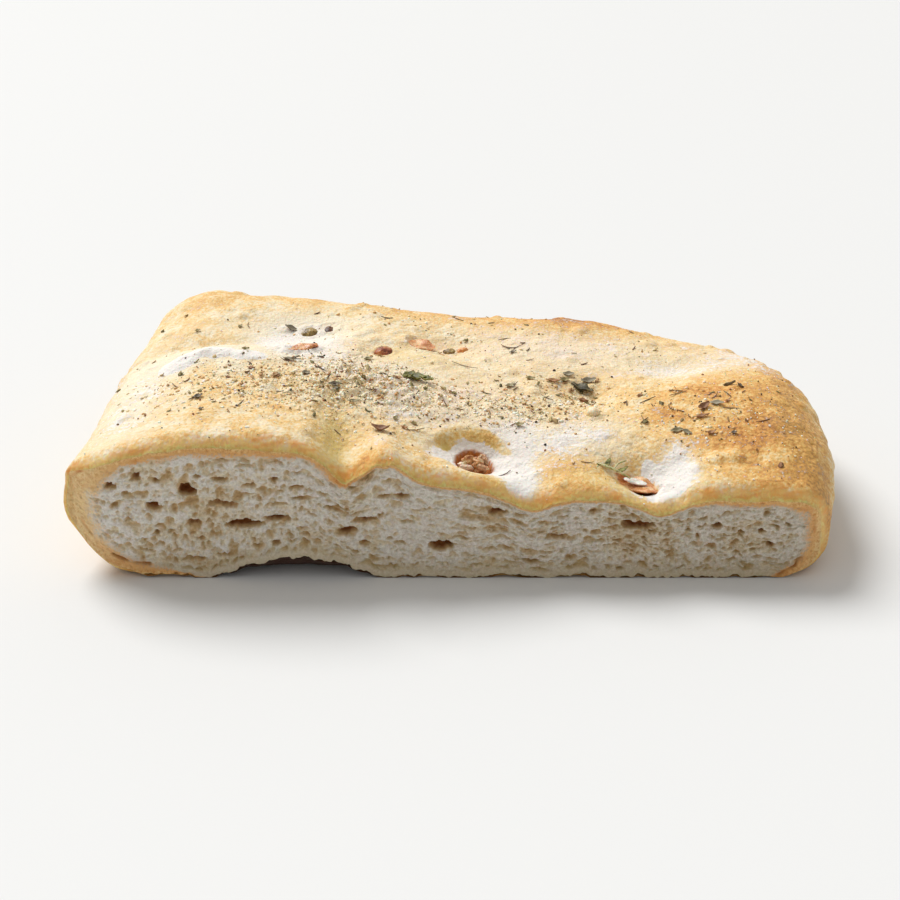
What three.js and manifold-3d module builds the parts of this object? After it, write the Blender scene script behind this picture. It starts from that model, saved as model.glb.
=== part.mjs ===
// Gluten-free focaccia: the end of a slab, cut straight across in front, crust on its other sides.
// Millimetres. X runs along the cut, Y away from it and Z up. The bread lies on Z = 0.
import * as THREE from 'three';
import { mergeVertices } from 'three/addons/utils/BufferGeometryUtils.js';
import Module from 'manifold-3d';

const wasm = await Module();
wasm.setup();

// Driving sizes of the plan: a quadrilateral with two rounded corners at the back and a full right side
const CUT_HALF = 98;
const BACK_LEFT = { x: -95, y: 132, radius: 22 };
const BACK_RIGHT = { x: 104, y: 103, radius: 48 };
const RIGHT_BULGE = { x: 108.5, y: 30 };

// Height of the fullest line of the side crust, at the corners of the plan
const RIM = { frontLeft: 27, backLeft: 22, frontRight: 16, backRight: 18 };

// How far in from the outline the crust rounds over, above and below
const SHOULDER = { frontLeft: 43, backLeft: 20, frontRight: 15, backRight: 17 };
const HEEL = { frontLeft: 15, backLeft: 15, frontRight: 9, backRight: 10 };

// Thickness of the bread at the cut, in the middle and at the back, at five evenly spaced places
const THICKNESS_X = [-90, -45, 0, 45, 90];
const THICKNESS_Y = [0, 55, 120];
const THICKNESS = [
  [40, 40, 29, 26, 26],
  [39.5, 40.5, 34.5, 31, 31],
  [39.5, 37, 34, 30.5, 23],
];

// Humps and dimples in the top: place, half width, half length and rise
const LUMPS = [
  { x: -28, y: 0, wide: 6, long: 20, rise: -5 },
  { x: -16, y: 0, wide: 4.5, long: 14, rise: 3 },
  { x: 7, y: 4, wide: 12, long: 6, rise: 1.5 },
  { x: 7.5, y: 15.5, wide: 11, long: 9, rise: -6 },
  { x: 20, y: 0, wide: 9, long: 12, rise: -4 },
  { x: 55, y: 0, wide: 8, long: 8, rise: -4 },
  { x: 50.5, y: 11.5, wide: 10, long: 8, rise: -7 },
  { x: -47, y: 82, wide: 17, long: 12, rise: -5 },
  { x: -72, y: 70, wide: 22, long: 6, rise: -3 },
  { x: -67, y: 55, wide: 20, long: 8, rise: 2 },
  { x: -21, y: 69, wide: 6, long: 5, rise: -3 },
  { x: -1, y: 77, wide: 13, long: 8, rise: -3 },
  { x: 38, y: 52, wide: 9, long: 8, rise: -3.5 },
  { x: 65, y: 68, wide: 11, long: 8, rise: -3 },
  { x: 80, y: 41, wide: 22, long: 22, rise: 3 },
  { x: 42, y: 106, wide: 18, long: 12, rise: 3.5 },
  { x: -22, y: 42, wide: 14, long: 12, rise: 1.5 },
];

// The hollow under the bread near its left end, where the base lifted off the baking sheet
const ARCH = { x: -40, wide: 24, long: 9, rise: 5.6 };

// The hole that a piece of garlic has baked into, in the front dimple
const CAVITY = { x: 6.3, y: 16.4, width: 10.4, length: 12.8, depth: 9 };

// The largest cells of the crumb that the cut has opened: place on the cut, width and height
const LARGEST_CELLS = [
  { x: -79.8, z: 28.9, width: 2.9, height: 2.5 },
  { x: -67.2, z: 25.1, width: 5.1, height: 4 },
  { x: -76, z: 20.8, width: 3.9, height: 3.2 },
  { x: -65.9, z: 16, width: 4.4, height: 2.3 },
  { x: -53, z: 15.6, width: 10.8, height: 3 },
  { x: -58.3, z: 21.4, width: 8.9, height: 2 },
  { x: -44.4, z: 17.3, width: 7.2, height: 2.6 },
  { x: -38, z: 23.4, width: 6.1, height: 1.6 },
  { x: -26.3, z: 13.5, width: 5.7, height: 2.6 },
  { x: -21.6, z: 16.9, width: 6.7, height: 2 },
  { x: -2.3, z: 9.3, width: 6.5, height: 3.5 },
  { x: 12.5, z: 18.9, width: 5.1, height: 2.3 },
  { x: 27.7, z: 11.8, width: 7.2, height: 2 },
  { x: 48.9, z: 15.3, width: 8.8, height: 2.6 },
  { x: 69.2, z: 15, width: 2.9, height: 2 },
  { x: 83.2, z: 9, width: 2.4, height: 2.3 },
];

// The lesser cells, which grow flatter from left to right, and the margins that the rind keeps clear
const CELL_TRIES = 52;
const CELL_WIDTH = { least: 1.3, most: 4.6 };
const CELL_FLATNESS = { left: 0.75, right: 0.42 };
const CELL_MARGIN = { top: 4.5, base: 2.6, ends: 9 };
const CELL_DEPTH = 0.4;

// Patches of dried herbs on the top: centre, half width, half length and number of flakes
const HERB_PATCHES = [
  { x: -46, y: 33, wide: 25, long: 11, count: 17 },
  { x: -15, y: 38, wide: 20, long: 15, count: 15 },
  { x: 8, y: 33, wide: 11, long: 7, count: 7 },
  { x: 20, y: 52, wide: 13, long: 13, count: 7 },
  { x: 76, y: 38, wide: 16, long: 11, count: 14 },
  { x: -72, y: 42, wide: 16, long: 22, count: 7 },
  { x: -25, y: 97, wide: 40, long: 12, count: 6 },
  { x: 42, y: 80, wide: 28, long: 12, count: 5 },
];
const FLAKE = { least: 1.8, most: 4.2, width: 0.42, thickness: 0.26, lift: 0.05, tilt: 0.3 };

// Gap between a topping and the seat that it has baked into
const SEAT_GAP = 0.35;

// Grid of the two crust sheets: shares of the plan that the rounded shoulder takes, steps round it,
// and even steps over the rest
const WALL_SHARE = { across: 0.1, away: 0.14 };
const WALL_STEPS = 5;
const ACROSS_STEPS = 35;
const AWAY_STEPS = 21;

const mix = (a, b, t) => a + (b - a) * t;
const clamp01 = (t) => Math.min(1, Math.max(0, t));
const bell = (t) => Math.exp(-t * t);
const fraction = (t) => t - Math.floor(t);

// Repeatable draw from 0 to 1 for a number, and the two steps of an even spread over a plane
const draw = (n) => fraction(Math.sin(n * 12.9898) * 43758.5453);
const SPREAD = [0.7548776662466927, 0.5698402909980532];
const GOLDEN_ANGLE = Math.PI * (3 - Math.sqrt(5));

// Corner of the plan as an arc that is tangent to the sides that meet there
function roundedCorner(before, corner, after) {
  const at = new THREE.Vector2(corner.x, corner.y);
  const back = before.clone().sub(at).normalize();
  const on = after.clone().sub(at).normalize();
  const half = Math.acos(back.dot(on)) / 2;
  const run = corner.radius / Math.tan(half);
  const centre = back.clone().add(on).normalize().multiplyScalar(corner.radius / Math.sin(half)).add(at);
  const enter = back.clone().multiplyScalar(run).add(at);
  const leave = on.clone().multiplyScalar(run).add(at);
  const angle = (point) => Math.atan2(point.y - centre.y, point.x - centre.x);
  let first = angle(enter);
  const last = angle(leave);
  if (first < last) first += 2 * Math.PI;
  const middle = (first + last) / 2;
  const arc = (from, to) => new THREE.EllipseCurve(
    centre.x, centre.y, corner.radius, corner.radius, from, to, to < from, 0);
  return { enter, leave, firstHalf: arc(first, middle), secondHalf: arc(middle, last) };
}

function joined(...curves) {
  const path = new THREE.CurvePath();
  curves.forEach((curve) => path.add(curve));
  return path;
}

// The four sides of the plan; the left, back and right ones carry the crust
const cutLeft = new THREE.Vector2(-CUT_HALF, 0);
const cutRight = new THREE.Vector2(CUT_HALF, 0);
const leftCorner = roundedCorner(cutLeft, BACK_LEFT, new THREE.Vector2(BACK_RIGHT.x, BACK_RIGHT.y));
const bulge = new THREE.Vector2(RIGHT_BULGE.x, RIGHT_BULGE.y);
const rightCorner = roundedCorner(new THREE.Vector2(BACK_LEFT.x, BACK_LEFT.y), BACK_RIGHT, bulge);
const leftSide = joined(new THREE.LineCurve(cutLeft, leftCorner.enter), leftCorner.firstHalf);
const backSide = joined(
  leftCorner.secondHalf, new THREE.LineCurve(leftCorner.leave, rightCorner.enter), rightCorner.firstHalf);
const rightHalf = joined(
  rightCorner.secondHalf, new THREE.QuadraticBezierCurve(rightCorner.leave, bulge, cutRight));
const frontSide = new THREE.LineCurve(cutLeft, cutRight);
const rightSide = { getPointAt: (t) => rightHalf.getPointAt(1 - t) };

// Points along the crusted sides, for measuring how far in a place lies
const RIM_SAMPLES = 90;
const rimPoints = [leftSide, backSide, rightHalf].flatMap(
  (side) => Array.from({ length: RIM_SAMPLES + 1 }, (_, i) => side.getPointAt(i / RIM_SAMPLES)));

function distanceToRim(x, y) {
  let nearest = Infinity;
  for (let i = 1; i < rimPoints.length; i += 1) {
    const a = rimPoints[i - 1];
    const b = rimPoints[i];
    const dx = b.x - a.x;
    const dy = b.y - a.y;
    const length2 = dx * dx + dy * dy;
    if (length2 === 0) continue;
    const t = clamp01(((x - a.x) * dx + (y - a.y) * dy) / length2);
    nearest = Math.min(nearest, Math.hypot(a.x + t * dx - x, a.y + t * dy - y));
  }
  return nearest;
}

// Smooth curve through evenly spaced values
function throughValues(values, places, at) {
  const step = places[1] - places[0];
  const t = (at - places[0]) / step;
  const i = Math.min(values.length - 2, Math.max(0, Math.floor(t)));
  const f = Math.min(1.3, Math.max(-0.3, t - i));
  const before = values[Math.max(0, i - 1)];
  const after = values[Math.min(values.length - 1, i + 2)];
  const slopeA = (values[i + 1] - before) / 2;
  const slopeB = (after - values[i]) / 2;
  const drop = values[i] - values[i + 1];
  return values[i] + f * (slopeA + f * (-3 * drop - 2 * slopeA - slopeB + f * (2 * drop + slopeA + slopeB)));
}

// Height of the top where the shoulder has levelled out
function crownHeight(x, y) {
  const [front, middle, back] = THICKNESS.map((row) => throughValues(row, THICKNESS_X, x));
  const [y0, y1, y2] = THICKNESS_Y;
  let z = front * (y - y1) * (y - y2) / ((y0 - y1) * (y0 - y2))
    + middle * (y - y0) * (y - y2) / ((y1 - y0) * (y1 - y2))
    + back * (y - y0) * (y - y1) / ((y2 - y0) * (y2 - y1));
  for (const lump of LUMPS) {
    z += lump.rise * bell((x - lump.x) / lump.wide) * bell((y - lump.y) / lump.long);
  }
  return z;
}

const endToEnd = (x) => clamp01((x + CUT_HALF) / (2 * CUT_HALF));
const roundOver = (t) => Math.sqrt(1 - (1 - clamp01(t)) ** 2);

// A size that is given at the four corners of the plan, blended between them
function between(corners, x, y) {
  const away = clamp01(y / BACK_LEFT.y);
  const left = mix(corners.frontLeft, corners.backLeft, away);
  const right = mix(corners.frontRight, corners.backRight, away);
  return mix(left, right, endToEnd(x));
}

const rimHeight = (x, y) => between(RIM, x, y);

function topHeight(x, y) {
  const rim = rimHeight(x, y);
  const inward = distanceToRim(x, y) / between(SHOULDER, x, y);
  return rim + (crownHeight(x, y) - rim) * roundOver(inward);
}

function baseHeight(x, y) {
  const inward = distanceToRim(x, y) / between(HEEL, x, y);
  const heel = rimHeight(x, y) * (1 - roundOver(inward));
  const across = clamp01(1 - ((x - ARCH.x) / ARCH.wide) ** 2);
  const away = clamp01(1 - y / ARCH.long);
  return heel + ARCH.rise * across * across * away * away;
}

// Steps that crowd towards the crusted rim, where the surface turns down
const rimSteps = (share) => Array.from(
  { length: WALL_STEPS }, (_, i) => share * (1 - Math.cos((Math.PI / 2) * (i / WALL_STEPS))));
const evenSteps = (steps, from, to) => Array.from({ length: steps + 1 }, (_, i) => mix(from, to, i / steps));
const mirrored = (steps) => steps.map((t) => 1 - t).reverse();

const wallAcross = rimSteps(WALL_SHARE.across);
const middleAcross = evenSteps(ACROSS_STEPS, WALL_SHARE.across, 1 - WALL_SHARE.across);
const columns = [...wallAcross, ...middleAcross, ...mirrored(wallAcross)];
const rows = [...evenSteps(AWAY_STEPS, 0, 1 - WALL_SHARE.away), ...mirrored(rimSteps(WALL_SHARE.away))];

// Place in the plan for shares u across and v away: the four sides blended (a Coons patch)
function planPoint(u, v) {
  const front = frontSide.getPointAt(u);
  const back = backSide.getPointAt(u);
  const left = leftSide.getPointAt(v);
  const right = rightSide.getPointAt(v);
  const backLeft = leftSide.getPointAt(1);
  const backRight = rightSide.getPointAt(1);
  const along = (axis) => mix(front[axis], back[axis], v) + mix(left[axis], right[axis], u)
    - mix(front[axis], mix(backLeft[axis], backRight[axis], u), v);
  return { x: along('x'), y: along('y') };
}

function solidFrom(positions, triangles) {
  return new wasm.Manifold(new wasm.Mesh({
    numProp: 3,
    vertProperties: Float32Array.from(positions),
    triVerts: Uint32Array.from(triangles),
  }));
}

// Closed surface of a top and a base sheet over one grid; where shared(i, j) holds they meet in one point
function twoSheets(across, away, place, shared) {
  const positions = [];
  const triangles = [];
  const numberOf = (point) => positions.push(...point) / 3 - 1;
  const top = Array.from({ length: away }, (_, j) => Array.from(
    { length: across }, (__, i) => numberOf(place(i, j, 'top'))));
  const base = Array.from({ length: away }, (_, j) => Array.from(
    { length: across }, (__, i) => (shared(i, j) ? top[j][i] : numberOf(place(i, j, 'base')))));
  const addFace = (a, b, c, d) => {
    if (a !== b && b !== c && a !== c) triangles.push(a, b, c);
    if (a !== c && c !== d && a !== d) triangles.push(a, c, d);
  };
  for (let j = 0; j < away - 1; j += 1) {
    for (let i = 0; i < across - 1; i += 1) {
      addFace(top[j][i], top[j][i + 1], top[j + 1][i + 1], top[j + 1][i]);
      addFace(base[j][i], base[j + 1][i], base[j + 1][i + 1], base[j][i + 1]);
    }
  }
  for (let i = 0; i < across - 1; i += 1) {
    addFace(base[0][i], base[0][i + 1], top[0][i + 1], top[0][i]);
  }
  return { positions, triangles };
}

function geometryFrom({ positions, triangles }) {
  const geometry = new THREE.BufferGeometry();
  geometry.setAttribute('position', new THREE.Float32BufferAttribute(positions, 3));
  geometry.setIndex(triangles);
  geometry.computeVertexNormals();
  return geometry;
}

// The same surface with its like points merged, so that it is one closed mesh
function closed(geometry) {
  const bare = geometry.clone();
  bare.deleteAttribute('normal');
  bare.deleteAttribute('uv');
  const merged = mergeVertices(bare, 1e-4);
  merged.computeVertexNormals();
  return merged;
}

function solidOf(geometry, matrix = new THREE.Matrix4()) {
  const placed = closed(geometry).applyMatrix4(matrix);
  return solidFrom(placed.attributes.position.array, placed.index.array);
}

// The same surface moved outwards by a gap, to cut a seat with
function grown(geometry, gap) {
  const merged = closed(geometry);
  const { position, normal } = merged.attributes;
  for (let i = 0; i < position.count; i += 1) {
    position.setXYZ(
      i,
      position.getX(i) + gap * normal.getX(i),
      position.getY(i) + gap * normal.getY(i),
      position.getZ(i) + gap * normal.getZ(i));
  }
  return merged;
}

function geometryOf(solid) {
  const { vertProperties, triVerts } = solid.getMesh();
  return geometryFrom({ positions: Array.from(vertProperties), triangles: Array.from(triVerts) });
}

// The uncut loaf: a top sheet and a base sheet that share their rim, closed by the flat cut in front
function crustSolid() {
  const height = { top: topHeight, base: baseHeight };
  const onRim = (i, j) => i === 0 || i === columns.length - 1 || j === rows.length - 1;
  const { positions, triangles } = twoSheets(columns.length, rows.length, (i, j, side) => {
    const { x, y } = planPoint(columns[i], rows[j]);
    return [x, y, onRim(i, j) ? rimHeight(x, y) : height[side](x, y)];
  }, onRim);
  return solidFrom(positions, triangles);
}

// A rounded lump whose surface is drawn in and out, as crumpled food is
function crumpled(width, length, height, detail, unevenness, seed) {
  const geometry = closed(new THREE.IcosahedronGeometry(1, detail));
  const { position } = geometry.attributes;
  const point = new THREE.Vector3();
  for (let i = 0; i < position.count; i += 1) {
    point.fromBufferAttribute(position, i);
    const wave = Math.sin(3.1 * point.x + seed)
      + Math.sin(4.3 * point.y + 2 * seed) * Math.sin(3.7 * point.z);
    const factor = 1 + unevenness * (0.35 * wave + 0.5 * (draw(i + 31 * seed) - 0.5));
    point.multiplyScalar(factor);
    position.setXYZ(i, point.x * width / 2, point.y * length / 2, point.z * height / 2);
  }
  geometry.computeVertexNormals();
  return geometry;
}

// A petal of onion or a leaf: a thin lens, pointed at its ends, cupped across, curled along and wavy
function petal({ length, width, thickness, cup, curl, wave, steps = [6, 3] }) {
  const [along, across] = steps;
  const onEdge = (i, j) => i === 0 || i === along || j === 0 || j === across;
  const place = (i, j, side) => {
    const s = 2 * i / along - 1;
    const t = 2 * j / across - 1;
    const halfWidth = (width / 2) * mix(0.12, 1, Math.sqrt(1 - s * s));
    const body = onEdge(i, j) ? 0 : (thickness / 2) * Math.sqrt((1 - s * s) * (1 - t * t));
    const middle = curl * s * s + cup * t * t * (1 - s * s) + wave * Math.sin(5 * s + 2 * t);
    return [s * length / 2, t * halfWidth, middle + (side === 'top' ? body : -body)];
  };
  return geometryFrom(twoSheets(along + 1, across + 1, place, onEdge));
}

// A thin stalk through a few places
function stalk(places, thickness) {
  const SIDES = 6;
  const outline = Array.from({ length: SIDES }, (_, i) => {
    const turn = 2 * Math.PI * i / SIDES;
    return new THREE.Vector2((thickness / 2) * Math.cos(turn), (thickness / 2) * Math.sin(turn));
  });
  const path = new THREE.CatmullRomCurve3(places.map((place) => new THREE.Vector3(...place)));
  return new THREE.ExtrudeGeometry(new THREE.Shape(outline), { steps: 6, extrudePath: path });
}

const turned = (geometry, x, y, z, turn, tilt = 0) => geometry
  .rotateY(tilt).rotateZ(turn).translate(x, y, z);

function fused(...geometries) {
  return geometryOf(geometries.map((geometry) => solidOf(geometry)).reduce((all, next) => all.add(next)));
}

// Toppings with a name, colour, place on the top, height of the middle over the bread, turn and tilt
const TOPPINGS = [
  {
    name: 'garlic_front',
    colour: 0xa5662a,
    at: { x: 6.3, y: 16, lift: -0.6, turn: 0.3, tilt: 0 },
    shape: () => fused(
      crumpled(7.6, 6.6, 5.2, 2, 0.35, 3),
      turned(crumpled(5.2, 3, 2.6, 1, 0.3, 5), -2.4, -2.6, 0.2, -0.5)),
  },
  {
    name: 'onion_petal_right',
    colour: 0xb0703a,
    at: { x: 49, y: 11.3, lift: -0.1, turn: -0.45, tilt: 0.05 },
    shape: () => petal({
      length: 13.5, width: 8, thickness: 1.6, cup: 1.2, curl: 0.6, wave: 0.35, steps: [12, 6] }),
  },
  {
    name: 'garlic_sliver_right',
    colour: 0xe9e2d2,
    at: { x: 48.6, y: 11.6, lift: 1.4, turn: -0.5, tilt: 0.05 },
    shape: () => petal({
      length: 6.4, width: 2.7, thickness: 1.2, cup: 0.1, curl: 0.1, wave: 0.05, steps: [7, 4] }),
  },
  {
    name: 'herb_sprig_right',
    colour: 0x6d6a2c,
    at: { x: 41.8, y: 13, lift: 0.8, turn: 0, tilt: 0 },
    shape: () => fused(
      stalk([[-4.5, 3.5, 0.4], [-1.5, 0.6, 0.8], [2, -1.8, 0.3], [5.2, -3.4, -1]], 0.8),
      stalk([[-2.4, 1.4, 0.7], [-4, -0.6, 0.4], [-6, -0.9, 0]], 0.7),
      turned(
        petal({ length: 5, width: 1.3, thickness: 0.5, cup: 0.2, curl: 0.4, wave: 0.1 }),
        -0.3, 2.1, 0.6, 1.2),
      turned(
        petal({ length: 4.4, width: 1.3, thickness: 0.5, cup: 0.2, curl: 0.4, wave: 0.1 }),
        3.3, -0.8, 0.1, 0.7)),
  },
  {
    name: 'olive_piece_back',
    colour: 0xa08a3e,
    at: { x: -42.3, y: 86, lift: -1, turn: 0.4, tilt: 0.1 },
    shape: () => crumpled(6.4, 5.4, 4.6, 1, 0.3, 1),
  },
  {
    name: 'dark_olive_piece_back',
    colour: 0x4a2419,
    at: { x: -36.9, y: 87.1, lift: -1.3, turn: 0.2, tilt: 0 },
    shape: () => crumpled(5.4, 5, 4, 1, 0.35, 2),
  },
  {
    name: 'onion_strip_back',
    colour: 0xb98a66,
    at: { x: -42.4, y: 59.8, lift: 0, turn: 0.55, tilt: 0 },
    shape: () => petal({
      length: 10, width: 4, thickness: 1.6, cup: 0.7, curl: 0.3, wave: 0.3, steps: [9, 5] }),
  },
  {
    name: 'pepper_piece_middle',
    colour: 0xa0502c,
    at: { x: -19.6, y: 69.8, lift: 0.6, turn: 0.8, tilt: 0.1 },
    shape: () => crumpled(5.2, 5, 3.8, 1, 0.35, 4),
  },
  {
    name: 'onion_petal_back',
    colour: 0xc98a68,
    at: { x: -9, y: 76.4, lift: 0.4, turn: -0.75, tilt: 0 },
    shape: () => petal({
      length: 10.5, width: 6.4, thickness: 1.5, cup: 1, curl: 0.4, wave: 0.2, steps: [9, 5] }),
  },
  {
    name: 'olive_bit_back',
    colour: 0xa08c3c,
    at: { x: -0.2, y: 76.2, lift: 0.4, turn: 0.4, tilt: 0 },
    shape: () => crumpled(3.8, 3, 2.2, 1, 0.25, 6),
  },
  {
    name: 'orange_bit_back',
    colour: 0xd98c48,
    at: { x: 3.7, y: 76.8, lift: 0.4, turn: 0.6, tilt: 0 },
    shape: () => crumpled(4, 3, 2.2, 1, 0.25, 7),
  },
  {
    name: 'herb_clump_middle',
    colour: 0x5f6a2c,
    at: { x: -9, y: 48.5, lift: 0.5, turn: 0, tilt: 0 },
    shape: () => fused(
      petal({ length: 6.2, width: 3, thickness: 0.9, cup: 0.6, curl: 0.3, wave: 0.3 }),
      turned(
        petal({ length: 5, width: 2.4, thickness: 0.8, cup: 0.5, curl: 0.4, wave: 0.2 }),
        -2.6, 1.4, 0.2, 0.9),
      turned(
        petal({ length: 4.4, width: 2, thickness: 0.8, cup: 0.5, curl: 0.4, wave: 0.2 }),
        2.4, -1.2, 0.1, -0.4)),
  },
  {
    name: 'dark_leaf_right',
    colour: 0x4d4a26,
    at: { x: 38, y: 56.5, lift: 0.6, turn: -0.7, tilt: 0.1 },
    shape: () => petal({ length: 7, width: 3.4, thickness: 1, cup: 0.8, curl: 0.5, wave: 0.3 }),
  },
  {
    name: 'pale_seed_right',
    colour: 0xe6d39c,
    at: { x: 39.4, y: 36.6, lift: 0.7, turn: 0.2, tilt: 0 },
    shape: () => crumpled(4, 3.6, 3.2, 1, 0.1, 8),
  },
];

function toppingMesh({ name, colour, at, shape }) {
  const material = new THREE.MeshStandardMaterial({ color: colour, roughness: 0.6, metalness: 0 });
  const mesh = new THREE.Mesh(shape(), material);
  mesh.name = name;
  mesh.position.set(at.x, at.y, topHeight(at.x, at.y) + at.lift);
  mesh.rotation.set(0, at.tilt, at.turn);
  mesh.updateMatrix();
  return mesh;
}

// An opened cell of the crumb: a flattened, uneven hollow centred on the cut
function cellCutter({ x, z, width, height }, number) {
  const detail = width > CELL_WIDTH.most ? 1 : 0;
  return crumpled(width, 2 * width * CELL_DEPTH, height, detail, 0.35, number).translate(x, 0, z);
}

// The lesser cells, spread evenly over the cut and left out where they would meet a larger one
function lesserCells() {
  const cells = [...LARGEST_CELLS];
  const clearOf = (cell) => cells.every((other) => Math.hypot(
    (cell.x - other.x) / (0.6 * (cell.width + other.width)),
    (cell.z - other.z) / (0.75 * (cell.height + other.height))) > 1);
  for (let i = 1; i <= CELL_TRIES; i += 1) {
    const x = mix(-CUT_HALF + CELL_MARGIN.ends, CUT_HALF - CELL_MARGIN.ends, fraction(i * SPREAD[0]));
    const low = baseHeight(x, 0) + CELL_MARGIN.base;
    const high = topHeight(x, 0) - CELL_MARGIN.top;
    const width = mix(CELL_WIDTH.least, CELL_WIDTH.most, draw(i) ** 3);
    const height = width * mix(CELL_FLATNESS.left, CELL_FLATNESS.right, endToEnd(x));
    const cell = { x, z: mix(low, high, fraction(i * SPREAD[1])), width, height };
    if (clearOf(cell)) cells.push(cell);
  }
  return cells;
}

// Dried herb flakes: each patch is filled outwards by the golden angle
function herbFlakes(toppings) {
  const flakes = [];
  const reach = toppings.map((mesh) => {
    mesh.geometry.computeBoundingSphere();
    return { x: mesh.position.x, y: mesh.position.y, radius: mesh.geometry.boundingSphere.radius };
  });
  HERB_PATCHES.forEach((patch, p) => {
    for (let k = 0; k < patch.count; k += 1) {
      const seed = 1 + k + 50 * p;
      const away = Math.sqrt((k + 0.5) / patch.count);
      const angle = k * GOLDEN_ANGLE + draw(seed) * 0.8;
      const x = patch.x + patch.wide * away * Math.cos(angle);
      const y = patch.y + patch.long * away * Math.sin(angle);
      const size = mix(FLAKE.least, FLAKE.most, draw(seed + 7) ** 2);
      const taken = ({ x: atX, y: atY, radius }) => Math.hypot(x - atX, y - atY) < radius + size;
      if (reach.some(taken)) continue;
      const flake = crumpled(size, size * FLAKE.width, size * FLAKE.thickness, 0, 0.3, seed);
      const turn = Math.PI * draw(seed + 13);
      const tilt = mix(-FLAKE.tilt, FLAKE.tilt, draw(seed + 17));
      flakes.push(turned(flake, x, y, topHeight(x, y) + size * FLAKE.lift, turn, tilt));
    }
  });
  return flakes;
}

function breadSolid(toppings) {
  let bread = crustSolid();
  const cavity = crumpled(CAVITY.width, CAVITY.length, CAVITY.depth, 2, 0.15, 9)
    .translate(CAVITY.x, CAVITY.y, topHeight(CAVITY.x, CAVITY.y));
  herbFlakes(toppings).forEach((flake) => { bread = bread.add(solidOf(flake)); });
  bread = bread.subtract(solidOf(cavity));
  lesserCells().forEach((cell, number) => {
    bread = bread.subtract(solidOf(cellCutter(cell, number + 1)));
  });
  toppings.forEach((mesh) => {
    bread = bread.subtract(solidOf(grown(mesh.geometry, SEAT_GAP), mesh.matrix));
  });
  const pieces = bread.decompose();
  return pieces.reduce((largest, piece) => (piece.volume() > largest.volume() ? piece : largest));
}

const toppingMeshes = TOPPINGS.map(toppingMesh);
const bread = new THREE.Mesh(
  geometryOf(breadSolid(toppingMeshes)),
  new THREE.MeshStandardMaterial({ color: 0xe6c48e, roughness: 0.8, metalness: 0 }));
bread.name = 'bread';

const focaccia = new THREE.Group();
focaccia.add(bread, ...toppingMeshes);

// The origin is under the middle of the whole piece
const extent = new THREE.Box3().setFromObject(focaccia);
const centre = extent.getCenter(new THREE.Vector3());
focaccia.position.set(-centre.x, -centre.y, -extent.min.z);

export default focaccia;
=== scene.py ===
import itertools
import math

import bpy
import numpy as np
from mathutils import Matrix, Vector
from mathutils.bvhtree import BVHTree


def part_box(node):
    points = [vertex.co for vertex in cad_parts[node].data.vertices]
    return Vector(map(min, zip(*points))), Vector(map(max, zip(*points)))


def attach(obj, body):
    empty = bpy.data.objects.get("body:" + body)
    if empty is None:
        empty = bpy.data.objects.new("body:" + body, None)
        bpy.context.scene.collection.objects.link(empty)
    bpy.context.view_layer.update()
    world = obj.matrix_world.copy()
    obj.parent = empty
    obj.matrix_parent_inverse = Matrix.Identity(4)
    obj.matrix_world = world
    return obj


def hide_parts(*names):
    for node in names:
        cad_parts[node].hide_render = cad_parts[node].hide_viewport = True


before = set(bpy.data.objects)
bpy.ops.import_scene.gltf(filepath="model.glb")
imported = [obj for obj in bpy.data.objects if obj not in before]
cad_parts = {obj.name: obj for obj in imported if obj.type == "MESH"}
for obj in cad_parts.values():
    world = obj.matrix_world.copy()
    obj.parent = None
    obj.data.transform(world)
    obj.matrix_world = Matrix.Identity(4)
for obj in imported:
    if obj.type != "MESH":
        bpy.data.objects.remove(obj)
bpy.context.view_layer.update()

# The table and the daylight: a wide pale table top that runs out of sight, lit by a big soft window
# high on the left and behind the bread, with pale walls all round, brighter behind, that fill the shade.
MM = 0.001
CUT_HALF = 98.0
CAMERA_BACK = 326.9
CAMERA_UP = 196.7
CAMERA_DOWN = 26.0
CAMERA_LENS = 58.0
TABLE_HALF = 3.0
TABLE_COLOUR = (0.782, 0.793, 0.812, 1.0)
SUN_FROM_LEFT = 30.0
SUN_FROM_BEHIND = 30.0
SUN_SPREAD = 30.0
SUN_STRENGTH = 2.75
SUN_COLOUR = (1.0, 0.985, 0.95)
TABLE_ROUGHNESS = 0.75
ROOM_COLOUR = (1.0, 0.985, 0.94, 1.0)
ROOM_IN_FRONT, ROOM_BEHIND = 0.34, 0.66

bread_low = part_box("bread")[0]
cut_origin = np.array([bread_low.x / MM + CUT_HALF, bread_low.y / MM, 0.0])

table_mesh = bpy.data.meshes.new("table_top")
table_mesh.from_pydata(
    [(-TABLE_HALF, -TABLE_HALF, 0), (TABLE_HALF, -TABLE_HALF, 0),
     (TABLE_HALF, TABLE_HALF, 0), (-TABLE_HALF, TABLE_HALF, 0)], [], [(0, 1, 2, 3)])
table_top = bpy.data.objects.new("table_top", table_mesh)
bpy.context.scene.collection.objects.link(table_top)
table_paint = bpy.data.materials.new("pale_table")
table_paint.use_nodes = True
table_shader = table_paint.node_tree.nodes["Principled BSDF"]
table_shader.inputs["Base Color"].default_value = TABLE_COLOUR
table_shader.inputs["Roughness"].default_value = TABLE_ROUGHNESS
table_mesh.materials.append(table_paint)

sun_light = bpy.data.lights.new("window_light", "SUN")
sun_light.energy = SUN_STRENGTH
sun_light.angle = math.radians(SUN_SPREAD)
sun_light.color = SUN_COLOUR
window_light = bpy.data.objects.new("window_light", sun_light)
window_light.rotation_euler = (math.radians(-SUN_FROM_BEHIND), math.radians(-SUN_FROM_LEFT), 0.0)
bpy.context.scene.collection.objects.link(window_light)

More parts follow.
